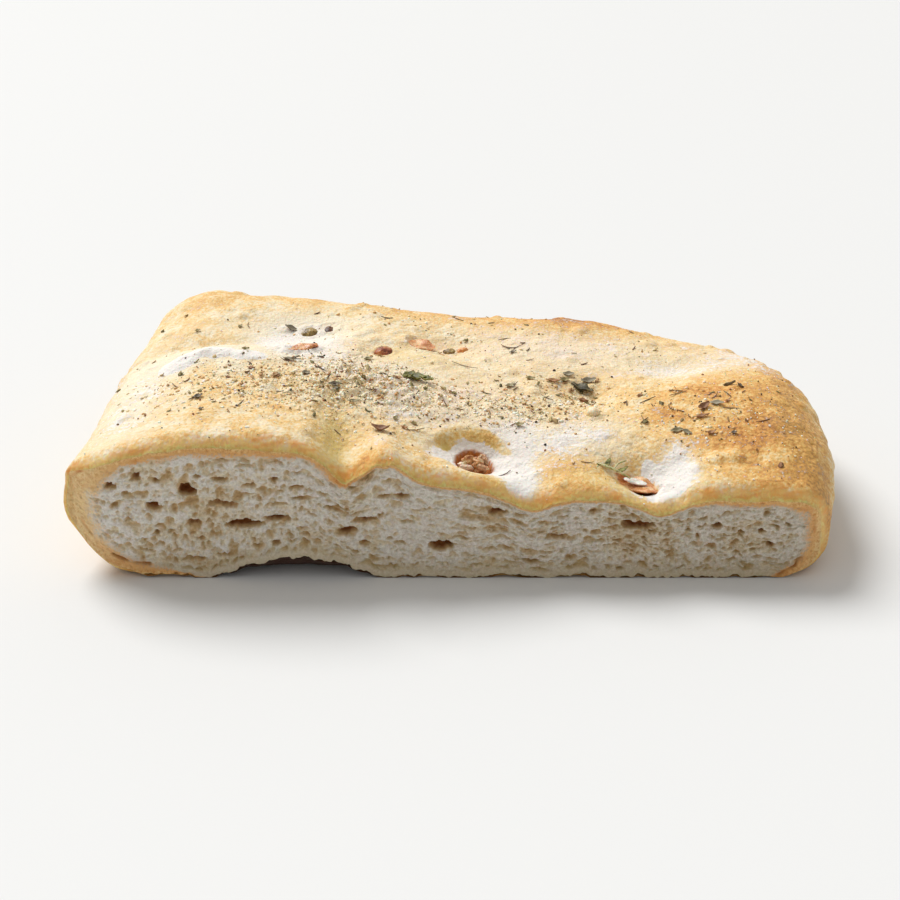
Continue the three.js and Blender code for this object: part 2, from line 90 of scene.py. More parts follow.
room = bpy.data.worlds.new("white_room")
room.use_nodes = True
room_light = room.node_tree.nodes["Background"]
room_light.inputs["Color"].default_value = ROOM_COLOUR
way = room.node_tree.nodes.new("ShaderNodeTexCoord")
parts = room.node_tree.nodes.new("ShaderNodeSeparateXYZ")
fade = room.node_tree.nodes.new("ShaderNodeMapRange")
fade.inputs["From Min"].default_value = -1.0
fade.inputs["From Max"].default_value = 1.0
fade.inputs["To Min"].default_value = ROOM_IN_FRONT
fade.inputs["To Max"].default_value = ROOM_BEHIND
room.node_tree.links.new(way.outputs["Generated"], parts.inputs["Vector"])
room.node_tree.links.new(parts.outputs["Y"], fade.inputs["Value"])
room.node_tree.links.new(fade.outputs["Result"], room_light.inputs["Strength"])
bpy.context.scene.world = room
bpy.context.scene.view_settings.view_transform = "Standard"

camera_data = bpy.data.cameras.new("camera")
camera_data.lens = CAMERA_LENS
camera = bpy.data.objects.new("camera", camera_data)
camera.location = (cut_origin + (0.0, -CAMERA_BACK, CAMERA_UP)) * MM
camera.rotation_euler = (math.radians(90.0 - CAMERA_DOWN), 0.0, 0.0)
bpy.context.scene.collection.objects.link(camera)
bpy.context.scene.camera = camera

# The crust: one skin of baked dough over the top, the two ends, the back and the base of the slab.
# It rose in the tin into humps, was dimpled by fingertips before baking, and browned on the high parts.
# All lengths are in millimetres from the middle of the cut's lower edge, as in the solid bread.
BACK_LEFT = np.array([-95.0, 132.0])
BACK_LEFT_RADIUS = 22.0
BACK_RIGHT = np.array([104.0, 103.0])
BACK_RIGHT_RADIUS = 48.0
RIGHT_BULGE = np.array([108.5, 30.0])
RIM_HEIGHT = (27.0, 22.0, 16.0, 18.0)
SHOULDER = (43.0, 20.0, 15.0, 17.0)
HEEL = (15.0, 15.0, 9.0, 10.0)
THICKNESS_X = (-90.0, -45.0, 0.0, 45.0, 90.0)
THICKNESS_Y = (0.0, 55.0, 120.0)
THICKNESS = (
    (40.0, 40.0, 29.0, 26.0, 26.0), (39.5, 40.5, 34.5, 31.0, 31.0), (39.5, 37.0, 34.0, 30.5, 23.0),
)

# Humps and dimples: place, half width, half length and rise
LUMPS = (
    (-28, 0, 6, 20, -5), (-16, 0, 4.5, 14, 3), (7, 4, 12, 6, 1.5), (7.5, 15.5, 11, 9, -6),
    (20, 0, 9, 12, -4), (55, 0, 8, 8, -4), (50.5, 11.5, 10, 8, -7), (-47, 82, 17, 12, -5),
    (-72, 70, 22, 6, -3), (-67, 55, 20, 8, 2), (-21, 69, 6, 5, -3), (-1, 77, 13, 8, -3),
    (38, 52, 9, 8, -3.5), (65, 68, 11, 8, -3), (80, 41, 22, 22, 3), (42, 106, 18, 12, 3.5),
    (-22, 42, 14, 12, 1.5),
)
ARCH_X, ARCH_WIDE, ARCH_LONG, ARCH_RISE = -40.0, 24.0, 9.0, 5.6
CAVITY_X, CAVITY_Y, CAVITY_WIDE, CAVITY_LONG, CAVITY_DEEP = 6.3, 16.1, 4.8, 5.5, 4.4

# The least angle of an edge drawn sharp, and the skin's steps: across the base, of the top for each of
# those, away from the cut, and the share and number of those on the rounded walls
CREASE_ANGLE = 1.0
BASE_STEPS = 150
TOP_PER_BASE = 2
AWAY_STEPS = 214
WALL_SHARE_ACROSS = 0.1
WALL_SHARE_AWAY = 0.14
WALL_STEPS_ACROSS = 35
WALL_STEPS_AWAY = 44

# The front of the skin turns in by this much, as a tray that the crumb fills
TRAY_DEPTH = 9.0
TRAY_INSET = 2.0

# The skin rolls over the edge of the cut by this radius and angle, and by a share of it at the two ends.
# On the base it does so only beyond these places, and it moves sideways only near the ends
EDGE_RADIUS, EDGE_TURN, EDGE_END_SHARE = 5.0, 1.25, 0.5
BASE_ROLL_LEFT, BASE_ROLL_RIGHT, BASE_ROLL_FADE = -78.0, 84.0, 8.0
SIDEWAYS_FROM, SIDEWAYS_FADE = 74.0, 12.0

# Bulges of the cut's ends: side, amount, height and half height, the place where each starts and its fade
END_BULGES = ((-1, 2.7, 20, 9, 88, 8), (-1, 3.7, 12, 8, 80, 6), (1, 3.2, 3, 7, 78, 6))
BULGE_FADE = 22.0

# How far the cut rounds off at its left and right ends, and over what length
SET_BACK_LEFT, SET_BACK_LEFT_LENGTH = 6.4, 13.0
SET_BACK_RIGHT, SET_BACK_RIGHT_LENGTH = 3.6, 9.0
SET_BACK_FADE = 7.0

# Where the lower edge of the cut is torn: height, how far behind the cut, and up to what place
TORN_EDGE, TORN_FADE, TORN_WITHIN = 1.1, 3.0, 84.0

# Relief of the skin: size and height of its waves, then of its blisters and pinholes
SKIN_WAVES = ((24.0, 0.6), (10.0, 0.45), (4.5, 0.26), (2.2, 0.2), (1.4, 0.1))
BLISTER_PITCH, BLISTER_LEAST, BLISTER_MOST, BLISTER_SHARE, BLISTER_RISE = 6.5, 0.9, 3.0, 0.7, 0.3
PINHOLE_PITCH, PINHOLE_LEAST, PINHOLE_MOST, PINHOLE_SHARE, PINHOLE_DEPTH = 3.8, 0.4, 0.9, 0.3, 0.5

# Crumbly patches where seasoning is baked in: place, half width, half length and height
CRUMBLY = (
    (-44, 34, 22, 15, 0.45), (-26, 40, 15, 17, 0.7), (-11, 38, 12, 13, 0.5), (14, 40, 20, 12, 0.35),
    (38, 48, 9, 14, 0.4), (70, 34, 16, 14, 0.22), (-5, 90, 45, 16, 0.2),
)

# A fold of white dough on the left, in lobes: place, half length, half width and turn
FOLD_LOBES = ((-76, 50, 5.6, 4.2, 0.35), (-66.6, 54, 6.4, 3.4, 0.0), (-57.4, 52, 5.8, 3.0, -0.3))
FOLD_RISE = 0.7

# The ledge of dough behind the garlic's hole, and the torn pocket that holds the onion on the right
LEDGE = (6.3, 15.6, 8.9, 8.6, 0.0)
LEDGE_DROP, LEDGE_LIP = 1.2, 0.35
POCKET = (48.8, 11.2, 6.8, 3.6, -0.45)
POCKET_DEPTH, POCKET_RIM = 0.6, 1.0

# Toppings that the dough rose around: place, half length, half width, turn and height of the collar
SUNK = (
    (-42.3, 86, 3.6, 3.1, 0.4, 0.5), (-36.9, 87.1, 3.2, 2.9, 0.2, 0.6), (-19.6, 69.8, 3.0, 2.9, 0.8, 0.8),
    (-0.2, 76.2, 2.2, 1.8, 0.4, 0.6), (3.7, 76.8, 2.0, 1.5, 0.6, 0.5), (39.4, 36.6, 2.3, 2.1, 0.2, 0.5),
    (-42.4, 59.8, 5.2, 2.2, 0.55, 0.9), (-9, 76.4, 5.4, 3.3, -0.75, 0.9), (38, 56.5, 3.8, 2.0, -0.7, 0.5),
)
COLLAR_RATIO, COLLAR_THICK = 1.12, 0.2

# Smoother places, in the floury pool and round the garlic: place, half width, half length and share
CALM = ((-47, 84, 17, 12, 0.8), (6.3, 16, 8, 8, 0.85))


def unit(value):
    """A value kept from 0 to 1."""
    return np.clip(value, 0, 1)


def rising(value, start, run):
    """0 up to the start, then rising to 1 over the run; with a run below 0 it rises the other way."""
    return unit((value - start) / run)


def swell(x, middle, half):
    """Bell-shaped rise of height 1 along a line."""
    return np.exp(-((x - middle) / half) ** 2)


def draws(number):
    """Repeatable draws from 0 to 1: the fraction of a large multiple of the number's sine."""
    value = np.sin(number * 12.9898) * 43758.5453
    return value - np.floor(value)


def lattice_draws(ix, iy, iz, seed):
    """One draw for each point of a lattice, from its three whole numbers and a seed."""
    return draws(ix * 0.731 + iy * 5.317 + iz * 13.171 + seed * 3.137)


def waves(x, y, z, size, seed):
    """Smooth noise from -1 to 1: draws on a cubic lattice of the given size, blended by smooth steps."""
    places = [np.asarray(v, float) / size + seed * 0.37 for v in (x, y, z)]
    low = [np.floor(v) for v in places]
    part = [v - w for v, w in zip(places, low)]
    ease = [v * v * (3 - 2 * v) for v in part]
    total = 0.0
    for corner in range(8):
        steps = (corner & 1, (corner >> 1) & 1, (corner >> 2) & 1)
        weight = 1.0
        for step, share in zip(steps, ease):
            weight = weight * (share if step else 1 - share)
        total = total + weight * lattice_draws(*[v + step for v, step in zip(low, steps)], seed)
    return 2 * total - 1


def round_cells(x, y, z, pitch, least, most, share, seed, lean=0.0):
    """Depth below the surface of the largest ball at each point: balls of random radius, jittered in
    a cubic lattice, with the given share of the lattice filled; the depth is a rounded bowl's, made
    deeper towards its top by the lean."""
    depth = np.zeros(np.broadcast(x, y, z).shape)
    low = [np.floor(np.asarray(v, float) / pitch) for v in (x, y, z)]
    for step in np.ndindex(3, 3, 3):
        at = [v + s - 1 for v, s in zip(low, step)]
        radius = least + (most - least) * lattice_draws(*at, seed + 1) ** 2
        jitter = [0.7 * (lattice_draws(*at, seed + k) - 0.5) for k in (2, 3, 4)]
        centre = [(v + 0.5 + shift) * pitch for v, shift in zip(at, jitter)]
        away = ((x - centre[0]) ** 2 + (y - centre[1]) ** 2 + (z - centre[2]) ** 2) / radius ** 2
        bowl = radius * unit(1 - away) ** 0.5 * (1 + lean * (z - centre[2]) / radius)
        depth = np.maximum(depth, np.where(lattice_draws(*at, seed) < share, bowl, 0))
    return depth


def arc_corner(before, corner, after, radius):
    """Rounded corner as an arc tangent to the two sides: its points up to the middle and on from it."""
    back = (before - corner) / np.linalg.norm(before - corner)
    onward = (after - corner) / np.linalg.norm(after - corner)
    half = math.acos(back @ onward) / 2
    centre = corner + (back + onward) / np.linalg.norm(back + onward) * radius / math.sin(half)
    ends = [corner + side * radius / math.tan(half) - centre for side in (back, onward)]
    first, last = [math.atan2(end[1], end[0]) for end in ends]
    if first < last:
        first += 2 * math.pi
    turn = np.linspace(first, last, 121)
    arc = centre + radius * np.stack([np.cos(turn), np.sin(turn)], 1)
    return arc[:61], arc[60:]


cut_left = np.array([-CUT_HALF, 0.0])
cut_right = np.array([CUT_HALF, 0.0])
left_arc, left_arc_on = arc_corner(cut_left, BACK_LEFT, BACK_RIGHT, BACK_LEFT_RADIUS)
right_arc, right_arc_on = arc_corner(BACK_LEFT, BACK_RIGHT, RIGHT_BULGE, BACK_RIGHT_RADIUS)
bend = np.linspace(0, 1, 80)[1:, None]
right_run = (1 - bend) * ((1 - bend) * right_arc_on[-1] + 2 * bend * RIGHT_BULGE) + bend ** 2 * cut_right
left_side = np.vstack([cut_left, left_arc])
back_side = np.vstack([left_arc_on, right_arc])
right_side = np.vstack([right_arc_on, right_run])[::-1]
outline = np.vstack([left_side, back_side, right_side[::-1]])


def along(path, share):
    """Points of a path of straight steps at the given shares of its length."""
    run = np.concatenate([[0], np.cumsum(np.linalg.norm(np.diff(path, axis=0), axis=1))])
    return np.stack([np.interp(np.asarray(share) * run[-1], run, path[:, k]) for k in (0, 1)], -1)


def distance_to(path, x, y):
    """Shortest distance from each place to a path of straight steps."""
    nearest = np.full(np.broadcast(x, y).shape, np.inf)
    for a, b in zip(path[:-1], path[1:]):
        step = b - a
        length = step @ step
        if length > 0:
            t = unit(((x - a[0]) * step[0] + (y - a[1]) * step[1]) / length)
            squared = (a[0] + t * step[0] - x) ** 2 + (a[1] + t * step[1] - y) ** 2
            nearest = np.minimum(nearest, squared)
    return np.sqrt(nearest)


def through_values(values, places, at):
    """Smooth curve through evenly spaced values: cubics between them, with the slopes of the chords."""
    values = np.asarray(values)
    t = (np.asarray(at) - places[0]) / (places[1] - places[0])
    i = np.clip(np.floor(t), 0, len(values) - 2).astype(int)
    f = np.clip(t - i, -0.3, 1.3)
    slope_a = (values[i + 1] - values[np.maximum(i - 1, 0)]) / 2
    slope_b = (values[np.minimum(i + 2, len(values) - 1)] - values[i]) / 2
    drop = values[i] - values[i + 1]
    square, cube = -3 * drop - 2 * slope_a - slope_b, 2 * drop + slope_a + slope_b
    return values[i] + f * (slope_a + f * (square + f * cube))


def bell(x, y, middle_x, middle_y, wide, long):
    """Bell-shaped hump of height 1 with the given half width and half length."""
    return np.exp(-((x - middle_x) / wide) ** 2 - ((y - middle_y) / long) ** 2)


def patches(x, y, table):
    """Sum of the bell-shaped patches of a table at each place."""
    return sum(strength * bell(x, y, px, py, wide, long) for px, py, wide, long, strength in table)


def crown_height(x, y):
    """Height of the top beyond its shoulders: three smooth rows joined by a parabola, plus the lumps."""
    rows = [through_values(row, THICKNESS_X, x) for row in THICKNESS]
    y0, y1, y2 = THICKNESS_Y
    z = (rows[0] * (y - y1) * (y - y2) / ((y0 - y1) * (y0 - y2))
         + rows[1] * (y - y0) * (y - y2) / ((y1 - y0) * (y1 - y2))
         + rows[2] * (y - y0) * (y - y1) / ((y2 - y0) * (y2 - y1)))
    return z + patches(x, y, LUMPS)


def between(corners, x, y):
    """A size given at the front left, back left, front right and back right, blended over the plan."""
    away = unit(y / BACK_LEFT[1])
    across = unit((x + CUT_HALF) / (2 * CUT_HALF))
    left = corners[0] + (corners[1] - corners[0]) * away
    right = corners[2] + (corners[3] - corners[2]) * away
    return left + (right - left) * across


def rounded(t):
    """Quarter of a circle, from 0 at the rim to 1 where the shoulder has levelled out."""
    return np.sqrt(1 - (1 - unit(t)) ** 2)


def top_height(x, y, inward=None):
    """Height of the top skin: a quarter ellipse from the rim up to the crown, less the garlic's hole."""
    if inward is None:
        inward = distance_to(outline, x, y)
    rim = between(RIM_HEIGHT, x, y)
    z = rim + (crown_height(x, y) - rim) * rounded(inward / between(SHOULDER, x, y))
    across = ((x - CAVITY_X) / CAVITY_WIDE) ** 2 + ((y - CAVITY_Y) / CAVITY_LONG) ** 2
    return z - CAVITY_DEEP * np.sqrt(unit(1 - across))


def base_height(x, y, inward):
    """Height of the base skin: a quarter ellipse from the rim down to the table, with the hollow arch."""
    heel = between(RIM_HEIGHT, x, y) * (1 - rounded(inward / between(HEEL, x, y)))
    across = unit(1 - ((x - ARCH_X) / ARCH_WIDE) ** 2)
    away = unit(1 - y / ARCH_LONG)
    return heel + ARCH_RISE * across ** 2 * away ** 2


def leaned_ratio(x, y, middle_x, middle_y, long, wide, turn):
    """Distance from the middle of a turned ellipse, as a ratio to its half sizes."""
    u = (x - middle_x) * math.cos(turn) + (y - middle_y) * math.sin(turn)
    v = (y - middle_y) * math.cos(turn) - (x - middle_x) * math.sin(turn)
    return np.hypot(u / long, v / wide)


def fold_ratio(x, y):
    """Distance from the nearest lobe of the white fold, below 1 inside it; its border is wavy."""
    lobes = [leaned_ratio(x, y, *lobe) for lobe in FOLD_LOBES]
    return np.minimum.reduce(lobes) + 0.1 * waves(x, y, 0, 2.2, 51)


def pocket_ratio(x, y):
    """Distance from the middle of the torn pocket, below 1 inside it; its border is ragged."""
    return leaned_ratio(x, y, *POCKET) + 0.12 * waves(x, y, 0, 1.9, 52) + 0.1 * waves(x, y, 0, 0.9, 53)


def ledge_ratio(x, y):
    """Distance from the middle of the ledge's ellipse, 1 on its scarp; the scarp is a little wavy."""
    return leaned_ratio(x, y, *LEDGE) + 0.05 * waves(x, y, 0, 2.6, 54) + 0.03 * waves(x, y, 0, 1.1, 55)


def behind_garlic(y):
    """1 behind the garlic's hole, falling to 0 beside it."""
    return rising(y, 17.2, 3)


def garlic_ratio(x, y):
    """Distance from the middle of the garlic's hole, as a ratio to the hole's half width."""
    return np.hypot((x - CAVITY_X) / CAVITY_WIDE, (y - CAVITY_Y) / CAVITY_LONG)


def carved(x, y):
    """How far the top stands above its smooth form at the white fold, the ledge and the torn pocket."""
    rise = FOLD_RISE * np.sqrt(unit(1 - fold_ratio(x, y) ** 2))
    ledge, behind = ledge_ratio(x, y), behind_garlic(y)
    rise = rise - LEDGE_DROP * behind * rising(ledge, 1.22, -0.34)
    rise = rise + LEDGE_LIP * behind * np.exp(-((ledge - 1.36) / 0.16) ** 2)
    torn = pocket_ratio(x, y)
    bank = rising(x, 50, 4) * rising(torn, 1.02, 0.1)
    rise = rise - POCKET_DEPTH * rising(torn, 1.05, -0.35)
    return rise + POCKET_RIM * bank * np.exp(-np.maximum(torn - 1.12, 0) / 0.9)


def skin_relief(x, y, z):
    """How far the skin stands out from its smooth form: waves of five sizes, blisters, pinholes,
    crumbly patches, wrinkles at the thin end and collars round the sunken toppings."""
    calm = 1 - patches(x, y, CALM)
    rise = sum(height * waves(x, y, z, size, k) for k, (size, height) in enumerate(SKIN_WAVES)) * calm
    grit = patches(x, y, CRUMBLY) * calm
    rise = rise + grit * (waves(x, y, z, 2.6, 5) + 0.8 * waves(x, y, z, 1.3, 6))
    wrinkled = rising(x, 80, 14) * unit(z / 8)
    rise = rise + 0.3 * wrinkled * waves(y * 0.5 - z * 0.4, y * 0.4 + z, x * 0.3, 2.2, 7)
    for middle_x, middle_y, long, wide, turn, height in SUNK:
        around = leaned_ratio(x, y, middle_x, middle_y, long, wide, turn)
        rise = rise + height * np.exp(-((around - COLLAR_RATIO) / COLLAR_THICK) ** 2) * (z > 8)
    blisters = round_cells(x, y, z, BLISTER_PITCH, BLISTER_LEAST, BLISTER_MOST, BLISTER_SHARE, 11)
    pinholes = round_cells(x, y, z, PINHOLE_PITCH, PINHOLE_LEAST, PINHOLE_MOST, PINHOLE_SHARE, 23)
    return rise + (BLISTER_RISE * blisters - PINHOLE_DEPTH * pinholes) * (garlic_ratio(x, y) > 1.1)


def stepped(steps, wall_steps, wall_share, both):
    """Shares from 0 to 1 that crowd towards the rounded rim, at the far end or at both."""
    wall = wall_share * (1 - np.cos(np.linspace(0, math.pi / 2, wall_steps + 1)))[:-1]
    even = steps - wall_steps * (2 if both else 1)
    middle_part = np.linspace(wall_share if both else 0.0, 1 - wall_share, even + 1)
    start = [wall] if both else []
    return np.concatenate([*start, middle_part, 1 - wall[::-1]])


def plan_places(across, away):
    """Places in the plan for shares across and away: its four sides blended (a Coons patch)."""
    u, v = across[None, :, None], away[:, None, None]
    front = cut_left + (cut_right - cut_left) * across[:, None]
    back = along(back_side, across)
    left = along(left_side, away)[:, None]
    right = along(right_side, away)[:, None]
    corners = left_side[-1] + (right_side[-1] - left_side[-1]) * u
    return (1 - v) * front + v * back + (1 - u) * left + u * right - (1 - v) * front - v * corners


def make_piece(name, points, faces, material, measures=None, smooth=True):
    """A mesh object from points in millimetres from the cut's lower middle, lists of faces, one
    material and, by name, one number for each point that the material reads."""
    mesh = bpy.data.meshes.new(name)
    corners = np.concatenate([np.asarray(part).ravel() for part in faces]).astype(np.int32)
    sizes = np.concatenate([np.full(len(part), np.shape(part)[1]) for part in faces])
    starts = np.concatenate([[0], np.cumsum(sizes)[:-1]]).astype(np.int32)
    mesh.vertices.add(len(points))
    mesh.vertices.foreach_set("co", ((points + cut_origin) * MM).astype(np.float32).ravel())
    mesh.loops.add(len(corners))
    mesh.loops.foreach_set("vertex_index", corners)
    mesh.polygons.add(len(sizes))
    mesh.polygons.foreach_set("loop_start", starts)
    mesh.update(calc_edges=True)
    mesh.validate()
    mesh.shade_smooth() if smooth else mesh.shade_flat()
    for label, numbers in (measures or {}).items():
        layer = mesh.attributes.new(label, "FLOAT", "POINT")
        layer.data.foreach_set("value", np.asarray(numbers, np.float32))
    mesh.materials.append(material)
    piece = bpy.data.objects.new(name, mesh)
    bpy.context.scene.collection.objects.link(piece)
    return piece


def node(tree, kind, inputs=None, **settings):
    """A shader node with its settings, and its inputs set to numbers or joined to other nodes' outputs."""
    made = tree.nodes.new("ShaderNode" + kind)
    for label, value in settings.items():
        setattr(made, label, value)
    for label, value in (inputs or {}).items():
        if isinstance(value, bpy.types.NodeSocket):
            tree.links.new(value, made.inputs[label])
        else:
            made.inputs[label].default_value = value
    return made


def maths(tree, operation, a, b=0.0, clamp=False):
    """The result of one sum on two numbers that vary over the surface."""
    return node(tree, "Math", {0: a, 1: b}, operation=operation, use_clamp=clamp).outputs[0]


def plus(tree, *values, clamp=False):
    """The sum of numbers that vary over the surface."""
    total = values[0]
    for left, value in enumerate(values[1:], 2 - len(values)):
        total = maths(tree, "ADD", total, value, clamp and left == 0)
    return total


def times(tree, a, b, clamp=False):
    """The product of two numbers that vary over the surface."""
    return maths(tree, "MULTIPLY", a, b, clamp)


def above(tree, value, start, slope):
    """How far a number is above a start, times a slope, kept from 0 to 1."""
    return times(tree, maths(tree, "SUBTRACT", value, start), slope, clamp=True)


def mixed(tree, share, a, b):
    """Two colours mixed by a share that varies over the surface."""
    return node(tree, "Mix", {0: share, 6: a, 7: b}, data_type="RGBA").outputs[2]


def multiplied(tree, a, b):
    """Two colours multiplied."""
    return node(tree, "Mix", {0: 1.0, 6: a, 7: b}, data_type="RGBA", blend_type="MULTIPLY").outputs[2]


def paint(colour):
    """A colour from its screen values out of 255, as linear light."""
    parts = [v / 255 for v in colour]
    return tuple(v / 12.92 if v <= 0.04045 else ((v + 0.055) / 1.055) ** 2.4 for v in parts) + (1.0,)


def ramp(tree, value, stops):
    """A colour for each value, from pairs of a place between 0 and 1 and a colour's screen values."""
    made = node(tree, "ValToRGB", {0: value})
    scale = made.color_ramp
    while len(scale.elements) < len(stops):
        scale.elements.new(0.5)
    for element, (place, colour) in zip(scale.elements, stops):
        element.position = place
        element.color = paint(colour)
    return made.outputs[0]


def measure(tree, label):
    """One of the numbers that a piece carries at each point."""
    return node(tree, "Attribute", attribute_name=label).outputs["Fac"]


def new_material(name, **uniform):
    """A material with its Principled shader, whose uniform settings are given by name."""
    material = bpy.data.materials.new(name)
    material.use_nodes = True
    shader = material.node_tree.nodes["Principled BSDF"]
    for label, value in uniform.items():
        shader.inputs[label.replace("_", " ")].default_value = value
    return material, material.node_tree, shader


def baked_grain_group():
    """Shared node group: the mottling of baked dough at a coarse and a fine size, and its height."""
    group = bpy.data.node_groups.new("baked_grain", "ShaderNodeTree")
    for label, direction, kind in (
            ("Vector", "INPUT", "Vector"), ("Coarse", "INPUT", "Float"), ("Fine", "INPUT", "Float"),
            ("Mottle", "OUTPUT", "Float"), ("Grain", "OUTPUT", "Float"), ("Height", "OUTPUT", "Float")):
        group.interface.new_socket(name=label, in_out=direction, socket_type="NodeSocket" + kind)
    entry = group.nodes.new("NodeGroupInput").outputs
    leave = group.nodes.new("NodeGroupOutput").inputs
    coarse, fine = [
        node(group, "TexNoise", {"Vector": entry["Vector"], "Scale": entry[size], "Detail": detail,
                                 "Roughness": rough}).outputs["Fac"]
        for size, detail, rough in (("Coarse", 4.0, 0.6), ("Fine", 5.0, 0.68))]
    group.links.new(coarse, leave["Mottle"])
    group.links.new(fine, leave["Grain"])
    group.links.new(plus(group, fine, times(group, coarse, 0.6)), leave["Height"])
    return group


baked_grain = baked_grain_group()


def grained(tree, coarse_size, fine_size):
    """The baked grain on the piece's own place, for a coarse and a fine size in millimetres."""
    place = node(tree, "TexCoord").outputs["Object"]
    made = tree.nodes.new("ShaderNodeGroup")
    made.node_tree = baked_grain
    tree.links.new(place, made.inputs["Vector"])
    made.inputs["Coarse"].default_value = 1 / (coarse_size * MM)
    made.inputs["Fine"].default_value = 1 / (fine_size * MM)
    return place, made.outputs["Mottle"], made.outputs["Grain"], made.outputs["Height"]


def centred(tree, value, amount):
    """A 0 to 1 pattern turned into one that swings round zero by the given amount."""
    return times(tree, maths(tree, "SUBTRACT", value, 0.5), amount)


def bumped(tree, shader, height, distance, strength=1.0):
    """The shader's surface raised by a pattern, by up to the given distance in metres."""
    bump = node(tree, "Bump", {"Height": height, "Strength": strength, "Distance": distance})
    tree.links.new(bump.outputs["Normal"], shader.inputs["Normal"])


# Where the skin browned, where flour lies on it and where oil has soaked in: place, half width,
# half length and strength
BROWNED = (
    (80, 36, 26, 24, 0.22), (78, 6, 28, 10, 0.18), (42, 106, 26, 12, 0.34), (-16, 3, 9, 9, 0.12),
    (29, 5, 13, 9, 0.12), (-67, 55, 24, 10, -0.3), (-88, 40, 14, 44, -0.12), (-47, 84, 22, 15, -0.35),
    (0, 55, 42, 24, -0.08), (-80, 100, 20, 30, 0.04), (-6.3, 3, 2.6, 2.0, 0.3), (12.5, 2, 2.6, 2, 0.15),
    (-21, 2, 4, 3, 0.3), (76, 21, 9, 6, 0.22), (85, 27, 7, 9, 0.22), (60, 35, 6, 5, 0.25),
    (71, 47, 12, 3.5, 0.3), (66, 5, 10, 7, -0.14), (95, 20, 7, 60, 0.3), (27.8, 18.6, 2, 1.2, 0.4),
    (-45.5, 19, 2.5, 2, 0.2), (10, 116, 80, 16, 0.3), (92, 70, 14, 26, 0.16), (44, 104, 34, 14, 0.12),
)
FLOURED = (
    (0, 40, 30, 18, 0.45), (-45, 75, 11.5, 15, 1.7), (48, 80, 34, 16, 0.3), (13, 15, 5, 7, 1.2),
    (-4, 14, 4, 4, 0.6), (48, 3.5, 8, 4, 0.7), (60, 11, 5, 9, 1.4), (-12, 30, 18, 12, 0.3),
    (-28, 50, 18, 12, 0.35), (66, 68, 12, 8, 0.5), (-18, 10, 3, 5, 0.5), (18.5, 6, 4.5, 9, 1.5),
    (17, 24, 8, 10, 0.5), (18, 78, 42, 22, 0.42), (40, 30, 12, 8, 0.4), (-86, 34, 12, 40, 0.55),
    (88, 76, 12, 14, 0.6), (-40, 58, 12, 8, 0.4), (32, 22, 14, 7, 0.6),
)
OILED = (
    (-30, 6, 4.0, 18, 0.9), (46, 4, 9, 5, 0.7), (-9, 66, 14, 9, 0.4), (12, 2, 5, 3, 0.4),
    (-1.5, 17, 2.5, 4, 0.5), (64, 6, 4, 6, 0.3), (10, 7, 5, 3, 0.4), (94, 30, 8, 40, 0.3),
    (62, 72, 12, 10, 0.3), (34, 8, 8, 6, 0.15),
)
OLIVE = ((-0.8, 18.8, 1.6, 2.6, 1.0), (89.4, 62.7, 1.7, 1.1, 0.9), (86.8, 53.9, 1.8, 1.0, 0.8))
ROSY = ((14, 80, 60, 34, 1.0), (-2, 40, 24, 16, 0.8))
FLOURED_EDGE = ((18, 2, 4.5, 9, 0.9), (56, 2, 4.5, 9, 0.9))


def end_setback(x, y):
    """How far the cut rounds off towards the two ends, where the dough was drawn out before the knife."""
    left = SET_BACK_LEFT * unit(1 - (x + CUT_HALF) / SET_BACK_LEFT_LENGTH) ** 2
    right = SET_BACK_RIGHT * unit(1 + (x - CUT_HALF) / SET_BACK_RIGHT_LENGTH) ** 2
    return (left + right) * np.exp(-np.maximum(y, 0) / SET_BACK_FADE)


def end_bulges(x, y, z):
    """How far the two ends of the cut stand out sideways: bells over the height that fade behind it."""
    return sum(
        side * amount * np.exp(-((z - middle) / half) ** 2 - np.abs(y) / BULGE_FADE)
        * unit((side * x - start) / fade) for side, amount, middle, half, start, fade in END_BULGES)


def inward_of(ring):
    """Unit directions across a closed ring of points on the cut, square to its run."""
    lean = np.roll(ring, -1, axis=0) - np.roll(ring, 1, axis=0)
    inward = np.stack([-lean[:, 2], lean[:, 0]], -1)
    return inward / np.linalg.norm(inward, axis=1, keepdims=True)


def closed_behind(points, ring, inset, depth):
    """The points with those of a flat lid at the given depth behind a ring, drawn in by the inset, and
    the faces of the wall back to it and of the lid."""
    lid = points[ring].copy()
    lid[:, (0, 2)] += inset * inward_of(lid)
    lid[:, 1] = depth
    number = len(points) + np.arange(len(ring))
    wall = np.stack([np.roll(ring, -1), ring, number, np.roll(number, -1)], -1)
    return np.vstack([points, lid]), [wall, number[::-1][None, :]]


def trimmed_piece(name, points, faces, material, measures):
    """A piece with only the points that its faces use."""
    used = np.zeros(len(points), bool)
    for part in faces:
        used[part.ravel()] = True
    renumber = np.cumsum(used) - 1
    faces = [renumber[part.reshape(-1, part.shape[-1])] for part in faces]
    return make_piece(name, points[used], faces, material, {k: v[used] for k, v in measures.items()})


